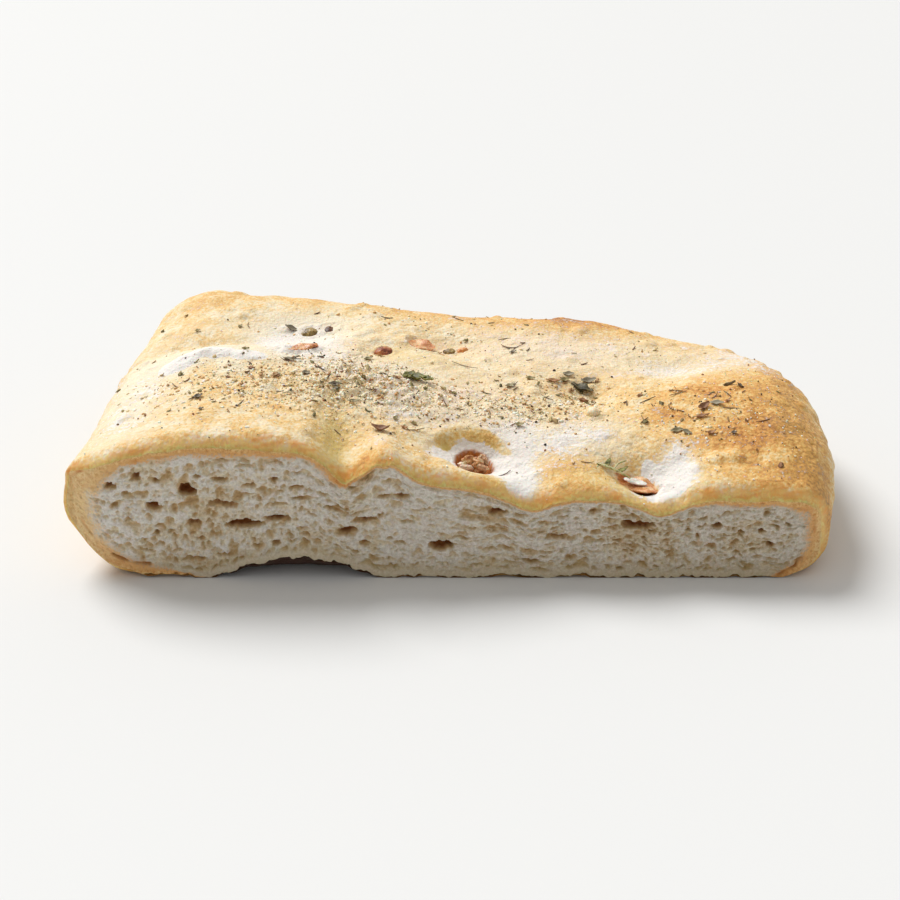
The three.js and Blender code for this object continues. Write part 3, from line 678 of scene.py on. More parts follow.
def skin_points():
    """The skin's grid: rows away from the cut, each a loop over the top and back under the base."""
    across = stepped(BASE_STEPS * TOP_PER_BASE, WALL_STEPS_ACROSS, WALL_SHARE_ACROSS, True)
    away = stepped(AWAY_STEPS, WALL_STEPS_AWAY, WALL_SHARE_AWAY, False)
    plan = plan_places(across, away)
    under = plan[:, ::-TOP_PER_BASE][:, 1:-1]
    x, y = plan[..., 0], plan[..., 1]
    inward = distance_to(outline, x, y)
    inward[:, (0, -1)] = 0
    inward[-1] = 0
    top = np.dstack([plan, top_height(x, y, inward) + carved(x, y)])
    inward_under = inward[:, ::-TOP_PER_BASE][:, 1:-1]
    base = np.dstack([under, base_height(under[..., 0], under[..., 1], inward_under)])
    grid = np.concatenate([top, base], axis=1)
    ring = np.roll(grid, -1, axis=1) - np.roll(grid, 1, axis=1)
    depth = np.gradient(grid, axis=0)
    normal = np.cross(ring, depth)
    normal[0, :, 1] = 0
    outward = np.gradient(grid[-1, :len(across)], axis=0)
    normal[-1, :len(across)] = np.stack([-outward[:, 1], outward[:, 0], 0 * outward[:, 0]], -1)
    normal /= np.linalg.norm(normal, axis=2, keepdims=True) + 1e-12
    relief = skin_relief(grid[..., 0], grid[..., 1], grid[..., 2])
    flat_base = unit(grid[..., 2] / 3)
    relief = np.where(np.arange(grid.shape[1]) >= len(across), np.minimum(relief, 0) * flat_base, relief)
    moved, rim = with_edge(grid, normal, grid + normal * relief[..., None], len(across))
    return moved, len(across), rim


def with_edge(grid, normal, moved, top_count):
    """The skin with its edge rolled over the cut, torn below and fuller at its two ends, and each
    point's share of the rolled edge."""
    beyond = np.maximum(BASE_ROLL_LEFT - moved[..., 0], moved[..., 0] - BASE_ROLL_RIGHT)
    share = unit(beyond / BASE_ROLL_FADE)
    share[:, :top_count] = 1
    share = share * (1 - (1 - EDGE_END_SHARE) * np.abs(normal[..., 0]))
    near_cut = np.clip(grid[..., 1], 0, EDGE_RADIUS)
    turn = EDGE_TURN * (1 - near_cut / EDGE_RADIUS)
    inner = normal.copy()
    inner[..., 0] *= unit((np.abs(grid[..., 0]) - SIDEWAYS_FROM) / SIDEWAYS_FADE)
    moved = moved - inner * (share * EDGE_RADIUS * (1 - np.cos(turn)))[..., None]
    moved[..., 1] += share * (EDGE_RADIUS * (1 - np.sin(turn)) - near_cut)
    rim = unit(2 * share) * turn / EDGE_TURN
    torn = unit(waves(moved[..., 0], 0, 0, 3.1, 81) + 0.6 * waves(moved[..., 0], 0, 0, 1.5, 82))
    torn = torn * TORN_EDGE * np.exp(-moved[..., 1] / TORN_FADE) * (np.abs(moved[..., 0]) < TORN_WITHIN)
    moved[:, top_count:, 2] += torn[:, top_count:]
    moved[..., 0] += end_bulges(moved[..., 0], moved[..., 1], moved[..., 2])
    moved[..., 2] = np.maximum(moved[..., 2], 0)
    moved[..., 1] += end_setback(moved[..., 0], moved[..., 1])
    return moved, rim


def build_skin(material):
    """The skin as one closed mesh: its loops, the stitched back rim, and the tray in front."""
    grid, top_count, rim = skin_points()
    row_count, loop_count = grid.shape[:2]
    number = np.arange(row_count * loop_count).reshape(row_count, loop_count)
    last = number[-1].copy()
    base_index = np.arange(top_count, loop_count)
    last[base_index] = number[-1, top_count - 1 - TOP_PER_BASE * (base_index - top_count + 1)]
    onward = np.roll(np.arange(loop_count), -1)
    body = np.stack([number[:-2], number[:-2][:, onward], number[1:-1][:, onward], number[1:-1]], -1)
    near = number[-2]
    back = np.stack([near[:top_count - 1], near[1:top_count], last[1:top_count], last[:top_count - 1]], -1)
    base_start = np.arange(top_count - 1, loop_count)
    near = np.stack([number[-2, base_start], number[-2, onward[base_start]]], -1)
    steps = np.arange(TOP_PER_BASE, -1, -1)
    far_start = top_count - 1 - TOP_PER_BASE * (base_start - top_count + 1)
    far = number[-1, far_start[:, None] - steps]
    stitched = np.concatenate([near, far], axis=1)
    points, tray = closed_behind(grid.reshape(-1, 3), number[0], -TRAY_INSET, TRAY_DEPTH)
    points[number[-1, top_count:]] = points[number[-1, :loop_count - top_count]]
    rim = np.concatenate([rim.ravel(), np.ones(loop_count)])
    under = np.arange(len(points)) % loop_count >= top_count
    measures = skin_measures(*points.T, rim, under)
    return trimmed_piece("crust", points, [body, back, stitched, *tray], material, measures), grid[0]


def skin_measures(x, y, z, rim, under):
    """The numbers that the crust's material reads, from each point's place, its share of the rolled
    edge and whether it is on the base."""
    rim_z = between(RIM_HEIGHT, x, y)
    streaks = unit(0.1 + 1.2 * waves(x / 4, 0.9 * y, z, 0.6, 85) + 0.7 * waves(x, y, z, 6.0, 89))
    browned = 0.31 + patches(x, y, BROWNED) * unit(z / rim_z) + 0.3 * unit(1 - z / rim_z)
    on_top = z > rim_z - 2
    # Painted shade: the base under the arch and a strip of the base behind the cut's lower edge are painted
    # dark brown, for the shade under the bread
    arch_shade = unit(2.6 - 2 * np.hypot((x - ARCH_X) / ARCH_WIDE, y / ARCH_LONG))
    front_edge_shade = 0.8 * unit(1.2 - z) * rising(y, 5, -4)
    hole, torn = garlic_ratio(x, y), pocket_ratio(x, y)
    ledge, behind = ledge_ratio(x, y), behind_garlic(y)
    # Painted shade: the scarp behind the garlic's hole, which faces the camera and lies in shade, is painted
    # browner and olive and kept clear of flour
    tan = rising(ledge, 0.89, 0.05) * unit((1.08 + 0.28 * behind - ledge) / 0.26)
    tan = tan * behind * unit(0.9 + 0.4 * waves(x, y, 0, 2.4, 56))
    white = (2.4 * rising(fold_ratio(x, y), 1.06, -0.08)
             + 1.7 * rising(ledge, 1.12, -0.1) * rising(y, 9.5, 1.5)
             + 2.0 * rising(torn, 1.0, 0.08) * rising(torn, 2.1, -0.3) * (x > 51))
    olive = patches(x, y, OLIVE)
    bare = 1 - patches(x, y, FLOURED_EDGE)
    return {
        "browned": browned + 0.24 * tan,
        "floured": (patches(x, y, FLOURED) + white - 2.1 * tan - 1.2 * olive) * on_top - 1.2 * rim * bare,
        "rim": rim,
        "amber": streaks * rising(rim, 0.25, 0.25) * bare,
        "rosy": patches(x, y, ROSY),
        "oiled": (patches(x, y, OILED) + 0.45 * tan + 0.7 * olive) * on_top,
        "roasted": unit(np.maximum(1.13 - hole, 0.88 - torn) / 0.07) * ~under,
        "under": under * np.maximum(arch_shade, front_edge_shade),
    }


def crust_material():
    """Baked dough: pale to golden brown where it browned, white where floured, greenish where oiled."""
    material, tree, shader = new_material(
        "baked_crust", Subsurface_Scale=0.0025, Specular_IOR_Level=0.4)
    place, mottle, grain, height = grained(tree, 8.0, 1.0)
    pebble = node(
        tree, "TexVoronoi", {"Vector": place, "Scale": 1 / (1.1 * MM), "Smoothness": 0.7},
        feature="SMOOTH_F1").outputs["Distance"]
    tone = plus(tree, measure(tree, "browned"), centred(tree, pebble, 0.25),
                centred(tree, mottle, 1.3), centred(tree, grain, 1.25))
    dough = ramp(tree, tone, (
        (0.0, (246, 233, 206)), (0.3, (242, 214, 162)), (0.5, (236, 190, 114)), (0.72, (220, 156, 76)),
        (1.0, (160, 94, 38))))
    oil = plus(tree, measure(tree, "oiled"), centred(tree, mottle, 0.8), clamp=True)
    soaked = mixed(tree, times(tree, oil, 0.7), dough, paint((224, 200, 114)))
    dusting = plus(tree, measure(tree, "floured"), centred(tree, mottle, 1.7), centred(tree, grain, 2.2))
    flour = above(tree, dusting, 0.36, 2.2)
    powder = mixed(tree, measure(tree, "rosy"), paint((244, 242, 241)), paint((244, 228, 212)))
    dusted = mixed(tree, times(tree, flour, 0.92), soaked, powder)
    roasted = ramp(tree, grain, ((0.35, (166, 88, 34)), (0.6, (206, 130, 62))))
    roast = mixed(tree, measure(tree, "roasted"), dusted, roasted)
    # Painted shade: the measure called under paints the base dark brown, for the shade under the arch and
    # along the front of the base
    roast = mixed(tree, measure(tree, "under"), roast, paint((66, 36, 16)))
    rolled = plus(tree, measure(tree, "rim"), centred(tree, mottle, 0.5), centred(tree, grain, 0.5))
    lip = ramp(tree, grain, ((0.36, (246, 182, 98)), (0.58, (255, 216, 136))))
    dense = mixed(tree, above(tree, rolled, 0.4, 2.2), roast, lip)
    dense = mixed(tree, times(tree, measure(tree, "amber"), 0.7), dense, paint((240, 158, 60)))
    tree.links.new(dense, shader.inputs["Base Color"])
    glow = plus(tree, 0.07, times(tree, measure(tree, "rim"), 0.5), clamp=True)
    tree.links.new(glow, shader.inputs["Subsurface Weight"])
    roughness = plus(tree, 0.58, times(tree, flour, 0.3), times(tree, oil, -0.3))
    tree.links.new(roughness, shader.inputs["Roughness"])
    bumped(tree, shader, plus(tree, height, times(tree, pebble, -0.5)), 0.00042)
    return material


crust, cut_edge = build_skin(crust_material())
crust.data.set_sharp_from_angle(angle=CREASE_ANGLE)
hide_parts("bread")
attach(crust, "root")

# The crumb: the soft inside that the knife opened, a slab that fills the front of the crust.
# Gas left round cells near the thick end and flattened ones where the dough was pressed; it is dense
# and golden next to the crust. Opened cells: place on the cut, width and height, the largest first.
OPENED_CELLS = (
    (-79.8, 28.9, 2.9, 2.5), (-67.2, 25.1, 5.1, 4.0), (-76.0, 20.8, 3.9, 3.2), (-65.9, 16.0, 4.4, 2.3),
    (-53.0, 15.6, 10.8, 3.0), (-58.3, 21.4, 8.9, 2.0), (-44.4, 17.3, 7.2, 2.6), (-38.0, 23.4, 6.1, 1.6),
    (-26.3, 13.5, 5.7, 2.6), (-21.6, 16.9, 6.7, 2.0), (-2.3, 9.3, 6.5, 3.5), (12.5, 18.9, 5.1, 2.3),
    (27.7, 11.8, 7.2, 2.0), (48.9, 15.3, 8.8, 2.6), (69.2, 15.0, 2.9, 2.4), (83.2, 9.0, 2.4, 2.3),
    (-86.5, 26.3, 3.4, 2.6), (-82.9, 24.6, 1.8, 1.7), (-86.2, 20.8, 2.6, 2.0), (-82.6, 17.0, 1.7, 1.8),
    (-77.4, 16.8, 1.4, 1.0), (-75.0, 15.3, 1.5, 1.2), (-75.8, 13.0, 2.1, 2.0), (-72.2, 13.6, 2.4, 1.4),
    (-66.5, 12.7, 2.2, 1.2), (-64.4, 11.0, 3.2, 1.2), (-45.2, 9.8, 2.2, 1.8), (-38.2, 14.2, 3.4, 1.2),
    (-79.0, 7.8, 5.2, 1.2), (-71.4, 7.8, 4.8, 1.0), (-66.5, 5.3, 7.6, 1.5), (-59.0, 6.2, 5.8, 1.2),
    (-64.4, 29.5, 2.0, 1.7), (-58.4, 28.6, 5.2, 1.9), (-51.2, 26.9, 5.2, 1.4), (-44.7, 28.3, 2.0, 2.2),
    (-38.7, 26.3, 4.2, 1.7), (-43.1, 25.4, 2.4, 1.2), (-32.2, 24.6, 2.6, 1.4), (-57.7, 33.8, 5.2, 1.1),
    (-51.7, 32.4, 4.7, 1.1), (-43.6, 33.2, 4.2, 1.1), (-39.2, 30.6, 3.1, 1.1), (-29.6, 27.2, 2.4, 1.6),
    (-25.2, 26.0, 2.6, 1.7), (-74.8, 28.3, 2.6, 1.7), (-59.0, 24.3, 5.6, 1.1), (-52.5, 24.3, 5.2, 1.1),
    (-35.3, 18.5, 3.6, 1.1), (-44.2, 21.4, 5.8, 1.3), (-29.9, 20.2, 4.7, 1.5), (-16.6, 23.4, 4.6, 1.7),
    (-12.2, 23.7, 5.2, 2.0), (-17.9, 18.2, 2.0, 1.7), (-5.7, 19.9, 5.2, 1.1), (-11.2, 16.2, 3.6, 1.4),
    (-4.7, 15.0, 3.1, 1.1), (3.6, 19.4, 3.6, 1.2), (5.7, 14.2, 2.6, 1.1), (11.2, 13.6, 4.2, 1.1),
    (3.1, 11.6, 6.0, 1.3), (-22.1, 10.1, 2.6, 2.2), (-15.3, 11.6, 1.8, 1.4), (-12.7, 10.4, 3.6, 1.7),
    (18.2, 18.2, 4.2, 1.4), (29.4, 17.6, 3.1, 1.2), (24.9, 15.6, 3.1, 1.1), (36.6, 18.8, 2.6, 1.6),
    (34.5, 13.9, 3.1, 1.1), (42.1, 14.7, 4.0, 1.3), (38.7, 11.0, 3.1, 1.3), (21.0, 4.6, 4.2, 1.6),
    (47.0, 9.5, 5.2, 1.1), (52.2, 13.3, 2.6, 1.4), (58.4, 16.5, 3.1, 1.2), (64.7, 17.0, 2.1, 1.2),
    (71.7, 18.8, 3.1, 1.4), (64.2, 12.1, 1.4, 1.7), (69.6, 11.0, 2.4, 1.3), (63.1, 10.1, 2.6, 1.4),
    (80.5, 13.6, 1.8, 1.9), (81.3, 18.8, 2.1, 1.9), (84.4, 14.7, 1.2, 1.6), (87.3, 15.6, 2.1, 1.7),
    (86.8, 9.0, 1.3, 1.4), (67.5, 9.5, 2.4, 1.4), (73.8, 5.2, 2.6, 1.2), (61.6, 13.9, 2.1, 1.4),
    (75.0, 13.3, 2.1, 1.7), (46.5, 4.6, 3.2, 1.0),
)
CELL_DEPTH = 0.62

# The rind's thickness under the upper edge: least, what is added on the left and the right, and at the
# two ends; then the same above the lower edge
RIND_OVER, RIND_LEFT, RIND_RIGHT, RIND_LEFT_END, RIND_RIGHT_END = 0.8, 1.6, 0.6, 8.0, 5.0
RIND_UNDER, RIND_LOW_LEFT, RIND_LOW_RIGHT = 0.3, 9.0, 6.2

# Four sizes of lesser cells: pitch, least and largest radius, share present and depth
LESSER_CELLS = (
    (4.4, 0.6, 2.0, 0.45, 0.5), (3.1, 0.5, 1.6, 0.75, 0.65), (1.9, 0.35, 1.0, 0.85, 0.85),
    (1.1, 0.22, 0.58, 0.85, 0.9),
)

# Folds where the dough was tucked under at the two ends, as lines across the cut, and their depth
TUCKS = (
    ((84.5, -0.5), (87.0, 1.2), (90.0, 3.4), (91.4, 5.6)),
    ((-88.0, 6.6), (-84.5, 5.0), (-81.0, 4.1), (-78.5, 3.7)),
)
TUCK_DEPTH, TUCK_WIDE = 0.9, 0.4

# The crumb's grid: columns for each column of the crust, rows up the cut, and its plain back
CRUMB_ACROSS = 2
CRUMB_UP = 150
CRUMB_BACK = 8.5
CRUMB_INSET = 2.4
LAYER_HEIGHT = 34.0
RAGGED = 0.6


def crumb_hollows(x, z, layer, dense):
    """Depth of the open cells behind the cut: the named ones and four sizes of lesser ones, which
    follow the layers of the dough and are flat where it was pressed; waves tear their outlines."""
    torn_x = x + 0.55 * waves(x, 0, z, 2.4, 31) + 0.5 * waves(x, 0, z, 0.9, 32)
    torn_z = z + 0.45 * waves(x, 0, z, 2.4, 33) + 0.5 * waves(x, 0, z, 0.8, 34)
    depth = np.zeros(x.shape)
    for cell_x, cell_z, width, height in OPENED_CELLS:
        upward = (torn_z - cell_z) / (height / 2)
        away = ((torn_x - cell_x) / (width / 2)) ** 2 + upward ** 2
        bowl = height ** 1.15 * unit(1 - away) ** 0.5 * (1 + 0.75 * upward)
        depth = np.maximum(depth, CELL_DEPTH * bowl)
    stretch = 1.15 + 0.95 * np.exp(-((x - 5) / 42) ** 2)
    slant = layer + 1.4 * waves(x / 3, 0, layer, 5.0, 35)
    for k, (pitch, least, most, share, deep) in enumerate(LESSER_CELLS):
        warped = [v + 0.24 * pitch * waves(x, 0, z, 0.5 * pitch, 36 + 2 * k + m)
                  for m, v in enumerate((x / stretch, slant))]
        bowl = deep * round_cells(
            warped[0], 0.5 * pitch + 0 * x, warped[1], pitch, least, most, share, 41 + 10 * k, 0.4)
        depth = np.maximum(depth, bowl) + 0.35 * np.minimum(depth, bowl)
    folds = 0.25 * waves(x / 4, 0, slant, 1.4, 71) + 0.3 * waves(x, 0, z, 11.0, 73)
    rough = 0.32 * np.abs(waves(x / 1.5, 0, z, 1.0, 77)) + 0.3 * np.abs(waves(x, 0, z, 0.6, 78))
    return depth * dense + 0.35 + (folds + rough) * unit(0.3 + dense)


def rind_relief(x, z, from_crust):
    """Depth of the thin streaks that run along the rind, of its pits, and the streaks alone."""
    streaks = unit(0.15 + waves(x / 4, from_crust, z / 4, 0.75, 85))
    pits = round_cells(x, 0.3 + 0 * x, z, 1.6, 0.2, 0.5, 0.45, 91)
    rough = np.abs(waves(x, 0, z, 0.9, 86)) + 0.8 * np.abs(waves(x, 0, z, 0.55, 84))
    return 0.4 * streaks + 0.3 * rough + 0.8 * pits, streaks


def rind_ratio(x, z, from_over, from_base):
    """Distance of the cut's points from the crust, as a ratio to the uneven thickness of the rind."""
    over = (RIND_OVER + RIND_LEFT * rising(x, -20, -20) + RIND_RIGHT * rising(x, 58, 15)
            + RIND_LEFT_END * swell(x, -CUT_HALF, 11) + RIND_RIGHT_END * swell(x, CUT_HALF, 8))
    under = (RIND_UNDER + RIND_LOW_LEFT * rising(x, -68, -28) ** 1.5
             + RIND_LOW_RIGHT * rising(x, 80, 16) ** 1.5)
    uneven = 1 + 0.3 * waves(x, 0, z, 6.0, 76) + 0.25 * waves(x, 0, z, 2.5, 79)
    ends = np.maximum(rising(x, -52, -16), rising(x, 78, 8))
    return np.minimum(from_over / over, from_base / under + 3 * (1 - ends)) / uneven


def crumb_surface(x, z, from_over, from_base, layer):
    """How far the cut's points keep off its rim, how deep they lie, and the numbers that the crumb's
    material reads."""
    near = rind_ratio(x, z, from_over, from_base)
    tucks = [distance_to(np.array(line), x + 0.5 * waves(x, 0, z, 1.5, 75), z) for line in TUCKS]
    tuck = np.exp(-(np.minimum(*tucks) / TUCK_WIDE) ** 2) * unit(0.7 + waves(x, 0, z, 2.0, 80))
    dense = rising(np.minimum(near, from_base / 1.5), 0.75, 0.5)
    nearest = np.minimum(from_over, from_base)
    edges = unit(nearest / 0.6)
    flaky, streaks = rind_relief(x, z, np.where(np.abs(x) > 80, nearest, from_over))
    band = unit(1.5 - near)
    patchy = unit(0.5 + 1.2 * waves(x, 0, z, 6.0, 89))
    hollow = crumb_hollows(x, z, layer, dense) * unit(nearest / 1.2)
    hollow = hollow + ((flaky - 0.25) * band + TUCK_DEPTH * tuck) * edges
    return edges, hollow, {
        # Painted shade: the depth of the cells, which the material paints darker and browner
        "hollow": rising(hollow, 0.5, 2.4),
        "rind": unit(1 - 0.5 * near),
        "amber": streaks * band * patchy * (0.5 + 0.6 * rising(x, -24, -8) * swell(from_over, 0, 2.2)),
        # Partly painted light: the rind is paler cream at the two ends, partly the ends' own paler crust and
        # partly painted light where the left end faces the window
        "pale": 0.9 * swell(x, -CUT_HALF, 11) + 0.3 * swell(x, CUT_HALF, 5),
        "low": unit(1 - from_base / 5.0),
        "tuck": tuck,
    }


def build_crumb(material, edge):
    """The crumb as one closed mesh: the cut face on a fine grid, and a plain back inside the crust."""
    top_count = BASE_STEPS * TOP_PER_BASE + 1
    shares = np.linspace(0, 1, (top_count - 1) * CRUMB_ACROSS + 1)
    base_line = np.vstack([edge[:1], edge[top_count:][::-1], edge[top_count - 1:top_count]])
    over, under = [
        np.stack([np.interp(shares, np.linspace(0, 1, len(line)), line[:, k]) for k in range(3)], -1)
        for line in (edge[:top_count], base_line)]
    ragged = 0.4 + waves(under[:, 0], 0, 0, 1.3, 87) + 0.7 * waves(under[:, 0], 0, 0, 0.6, 88)
    under[:, 2] += RAGGED * np.clip(ragged, 0, 1.5) * rising(np.abs(under[:, 0]), 86, -6)
    up = np.linspace(0, 1, CRUMB_UP + 1)[:, None]
    face = under + (over - under) * up[..., None]
    x, z = face[..., 0], face[..., 2]
    from_over = distance_to(over[::3][:, (0, 2)], x, z)
    from_base = distance_to(under[::4][:, (0, 2)], x, z)
    edges, hollow, measures = crumb_surface(x, z, from_over, from_base, LAYER_HEIGHT * up)
    face[..., 1] = face[..., 1] * (1 - edges) + end_setback(x, 0 * x) * edges + hollow
    rows, count = x.shape
    number = np.arange(rows * count).reshape(rows, count)
    number[:, 0] = number[0, 0]
    number[:, -1] = number[0, -1]
    squares = np.stack([number[:-1, 1:-2], number[:-1, 2:-1], number[1:, 2:-1], number[1:, 1:-2]], -1)
    left = np.stack([number[:-1, 0], number[:-1, 1], number[1:, 1]], -1)
    right = np.stack([number[:-1, -2], number[:-1, -1], number[1:, -2]], -1)
    loop = np.concatenate([number[0, :-1], number[-1, :0:-1]])
    points, behind = closed_behind(face.reshape(-1, 3), loop, CRUMB_INSET, CRUMB_BACK)
    measures = {label: np.append(numbers, np.zeros(len(loop))) for label, numbers in measures.items()}
    return trimmed_piece("crumb", points, [squares, left, right, *behind], material, measures)


def crumb_material():
    """Pale damp crumb: darker and browner down in its cells as painted shade, lighter towards its left end
    as painted light, golden and dense next to the crust.
    """
    material, tree, shader = new_material(
        "open_crumb", Subsurface_Weight=0.12, Subsurface_Scale=0.0007, Specular_IOR_Level=0.3,
        Roughness=0.75)
    place, mottle, grain, height = grained(tree, 7.0, 0.8)
    across = node(tree, "SeparateXYZ", {"Vector": place}).outputs["X"]
    # Painted light: the cut face is painted lighter towards its left end, for light that falls off from left
    # to right
    painted_light_from_left = times(tree, maths(tree, "SUBTRACT", 0.03, across), 2.2)
    lightness = plus(tree, 0.46, painted_light_from_left, centred(tree, grain, 2.6), clamp=True)
    soft = mixed(tree, lightness, paint((206, 192, 170)), paint((252, 247, 240)))
    # Painted shade: the deeper a cell, the darker and browner the crumb is painted there
    cell_shade_depth = plus(tree, measure(tree, "hollow"), centred(tree, grain, 0.2))
    crumb_with_cell_shade = multiplied(tree, soft, ramp(tree, cell_shade_depth, (
        (0.0, (255, 255, 255)), (0.14, (248, 238, 216)), (0.4, (220, 190, 144)), (0.85, (150, 92, 42)))))
    lower = mixed(tree, times(tree, measure(tree, "low"), 0.6), crumb_with_cell_shade, paint((198, 174, 122)))
    edge = plus(tree, measure(tree, "rind"), centred(tree, mottle, 0.5), centred(tree, grain, 1.1))
    golden = ramp(tree, edge, (
        (0.4, (228, 200, 170)), (0.6, (234, 190, 142)), (0.78, (240, 186, 118)), (0.94, (242, 192, 128)),
        (1.15, (255, 212, 146))))
    # The ends of the rind are painted paler cream: partly their own colour, partly painted light on the left
    # end that faces the window
    golden = mixed(tree, measure(tree, "pale"), golden, paint((255, 226, 172)))
    golden = mixed(tree, times(tree, measure(tree, "amber"), 0.8), golden, paint((222, 138, 62)))
    golden = multiplied(tree, golden, ramp(tree, grain, (
        (0.34, (232, 208, 178)), (0.46, (252, 246, 238)), (0.6, (255, 255, 255)))))
    crusted = mixed(tree, above(tree, edge, 0.36, 3.2), lower, golden)
    folded = mixed(tree, measure(tree, "tuck"), crusted, paint((188, 128, 66)))
    tree.links.new(folded, shader.inputs["Base Color"])
    bumped(tree, shader, height, 0.0006)
    return material


crumb = build_crumb(crumb_material(), cut_edge)
crumb.data.set_sharp_from_angle(angle=CREASE_ANGLE)
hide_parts("bread")
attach(crumb, "root")

# Roasted pieces in the dimples: garlic, olives and peppers, lumps that shrivelled in the oven.
# Each is a ball drawn in and out by waves and creased, at the place of its solid.
BALL_TURNS, BALL_RINGS = 56, 36


def ball_faces(turns, rings):
    """Faces of a ball of rings of points, with a single point at the bottom and at the top."""
    ring = 1 + np.arange((rings - 1) * turns).reshape(rings - 1, turns)
    onward = np.roll(ring, -1, axis=1)
    squares = np.stack([ring[:-1], onward[:-1], onward[1:], ring[1:]], -1).reshape(-1, 4)
    low = np.stack([np.zeros(turns, int), onward[0], ring[0]], -1)
    high = np.stack([np.full(turns, ring[-1, -1] + 1), ring[-1], onward[-1]], -1)
    return [squares, low, high]


def ball_points(turns, rings):
    """Points of a ball of radius 1: its bottom, its rings upward and its top."""
    climb = np.linspace(-math.pi / 2, math.pi / 2, rings + 1)[1:-1, None]
    turn = np.arange(turns) / turns * 2 * math.pi
    ring = np.stack([np.cos(climb) * np.cos(turn), np.cos(climb) * np.sin(turn),
                     np.sin(climb) + 0 * turn], -1).reshape(-1, 3)
    return np.vstack([[0, 0, -1], ring, [0, 0, 1]])


def lump(width, length, height, unevenness, creases, seed):
    """A shrivelled lump: a ball drawn in and out by waves, with sharp creases where waves cross zero."""
    ball = ball_points(BALL_TURNS, BALL_RINGS)
    x, y, z = ball.T
    slow = np.sin(3.1 * x + seed) + np.sin(4.3 * y + 2 * seed) * np.sin(3.7 * z)
    bumps = waves(x, y, z, 0.75, seed) + 0.5 * waves(x, y, z, 0.3, seed + 0.5)
    coarse, fine = [np.abs(waves(x, y, z, size, seed + k)) ** 0.5 for size, k in ((0.6, 3), (0.25, 4))]
    crease = coarse + 0.4 * fine
    factor = 1 + unevenness * (0.35 * slow + 0.4 * bumps) + creases * (crease - 0.8)
    return ball * factor[:, None] * (width / 2, length / 2, height / 2)


def turned(points, turn, tilt=0.0):
    """Points turned about the vertical, then tilted towards the right."""
    c, s, ct, st = math.cos(turn), math.sin(turn), math.cos(tilt), math.sin(tilt)
    x = c * points[..., 0] - s * points[..., 1]
    y = s * points[..., 0] + c * points[..., 1]
    z = points[..., 2]
    return np.stack([ct * x + st * z, y, ct * z - st * x], -1)


def seated(points, x, y, lift, turn, tilt=0.0):
    """A topping's points put at its place on the top, as its solid is."""
    inward = distance_to(outline, np.array([x]), np.array([y]))
    height = float(top_height(np.array([x]), np.array([y]), inward)[0])
    if garlic_ratio(x, y) < 1:
        height += CAVITY_DEEP * math.sqrt(1 - garlic_ratio(x, y) ** 2)
    return turned(points, turn, tilt) + (x, y, height + lift)


def food_material(name, low, middle, high, coarse, fine, relief, pale=(240, 226, 204), **uniform):
    """Cooked food: three colours mottled at two sizes, pale where measured, with a fine uneven surface."""
    material, tree, shader = new_material(name, **uniform)
    _, mottle, grain, height = grained(tree, coarse, fine)
    tone = plus(tree, 0.5, centred(tree, mottle, 2.2), centred(tree, grain, 1.4))
    cooked = ramp(tree, tone, ((0.15, low), (0.5, middle), (0.85, high)))
    tree.links.new(mixed(tree, measure(tree, "pale"), cooked, paint(pale)), shader.inputs["Base Color"])
    bumped(tree, shader, height, relief * MM, 0.9)
    return material


garlic_paint = food_material(
    "roasted_garlic", (150, 88, 40), (200, 142, 84), (240, 206, 160), 2.2, 0.6, 0.2,
    Roughness=0.42, Subsurface_Weight=0.2, Subsurface_Scale=0.001)
olive_paint = food_material(
    "green_olive", (92, 68, 34), (140, 112, 58), (192, 164, 104), 2.0, 0.6, 0.2,
    Roughness=0.35, Subsurface_Weight=0.15, Subsurface_Scale=0.001)
dark_olive_paint = food_material(
    "dark_olive", (44, 20, 14), (88, 44, 26), (176, 124, 70), 2.8, 0.8, 0.2, Roughness=0.35)
red_pepper_paint = food_material(
    "red_pepper", (112, 46, 26), (166, 90, 54), (210, 142, 92), 2.0, 0.6, 0.2,
    Roughness=0.4, Subsurface_Weight=0.15, Subsurface_Scale=0.001)
orange_pepper_paint = food_material(
    "orange_pepper", (206, 122, 50), (228, 158, 88), (244, 200, 150), 2.0, 0.7, 0.15,
    Roughness=0.4, Subsurface_Weight=0.2, Subsurface_Scale=0.001)
pale_garlic_paint = food_material(
    "pale_garlic", (226, 196, 134), (240, 222, 178), (249, 242, 220), 2.6, 0.6, 0.15,
    Roughness=0.4, Subsurface_Weight=0.3, Subsurface_Scale=0.0015)

# Name, slot, place, lift, turn, tilt, then width, length, height, unevenness, creases and seed
LUMPS_ON_TOP = (
    ("olive_piece_back", "olive", olive_paint,
     -42.3, 86, -1.0, 0.4, 0.1, 6.4, 5.4, 4.6, 0.22, 0.1, 1),
    ("dark_olive_piece_back", "dark_olive", dark_olive_paint,
     -36.9, 87.1, -1.3, 0.2, 0.0, 5.4, 5, 4, 0.25, 0.16, 2),
    ("pepper_piece_middle", "red_pepper", red_pepper_paint,
     -19.6, 69.8, 0.6, 0.8, 0.1, 5.2, 5, 3.8, 0.25, 0.22, 4),
    ("olive_bit_back", "olive", olive_paint,
     -0.2, 76.2, 0.4, 0.4, 0.0, 3.8, 3, 2.2, 0.2, 0.12, 6),
    ("orange_bit_back", "orange_pepper", orange_pepper_paint,
     3.7, 76.8, 0.4, 0.6, 0.0, 4, 3, 2.2, 0.2, 0.12, 7),
    ("pale_seed_right", "pale_garlic", pale_garlic_paint,
     39.4, 36.6, 0.7, 0.2, 0.0, 4, 3.6, 3.2, 0.08, 0.06, 8),
)
one_ball = ball_faces(BALL_TURNS, BALL_RINGS)
ball_size = (BALL_RINGS - 1) * BALL_TURNS + 2
for name, slot, food, x, y, lift, turn, tilt, *shape in LUMPS_ON_TOP:
    body = seated(lump(*shape), x, y, lift, turn, tilt)
    piece = make_piece(name + "_cooked", body, one_ball, food)
    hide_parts(name)
    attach(piece, "root")

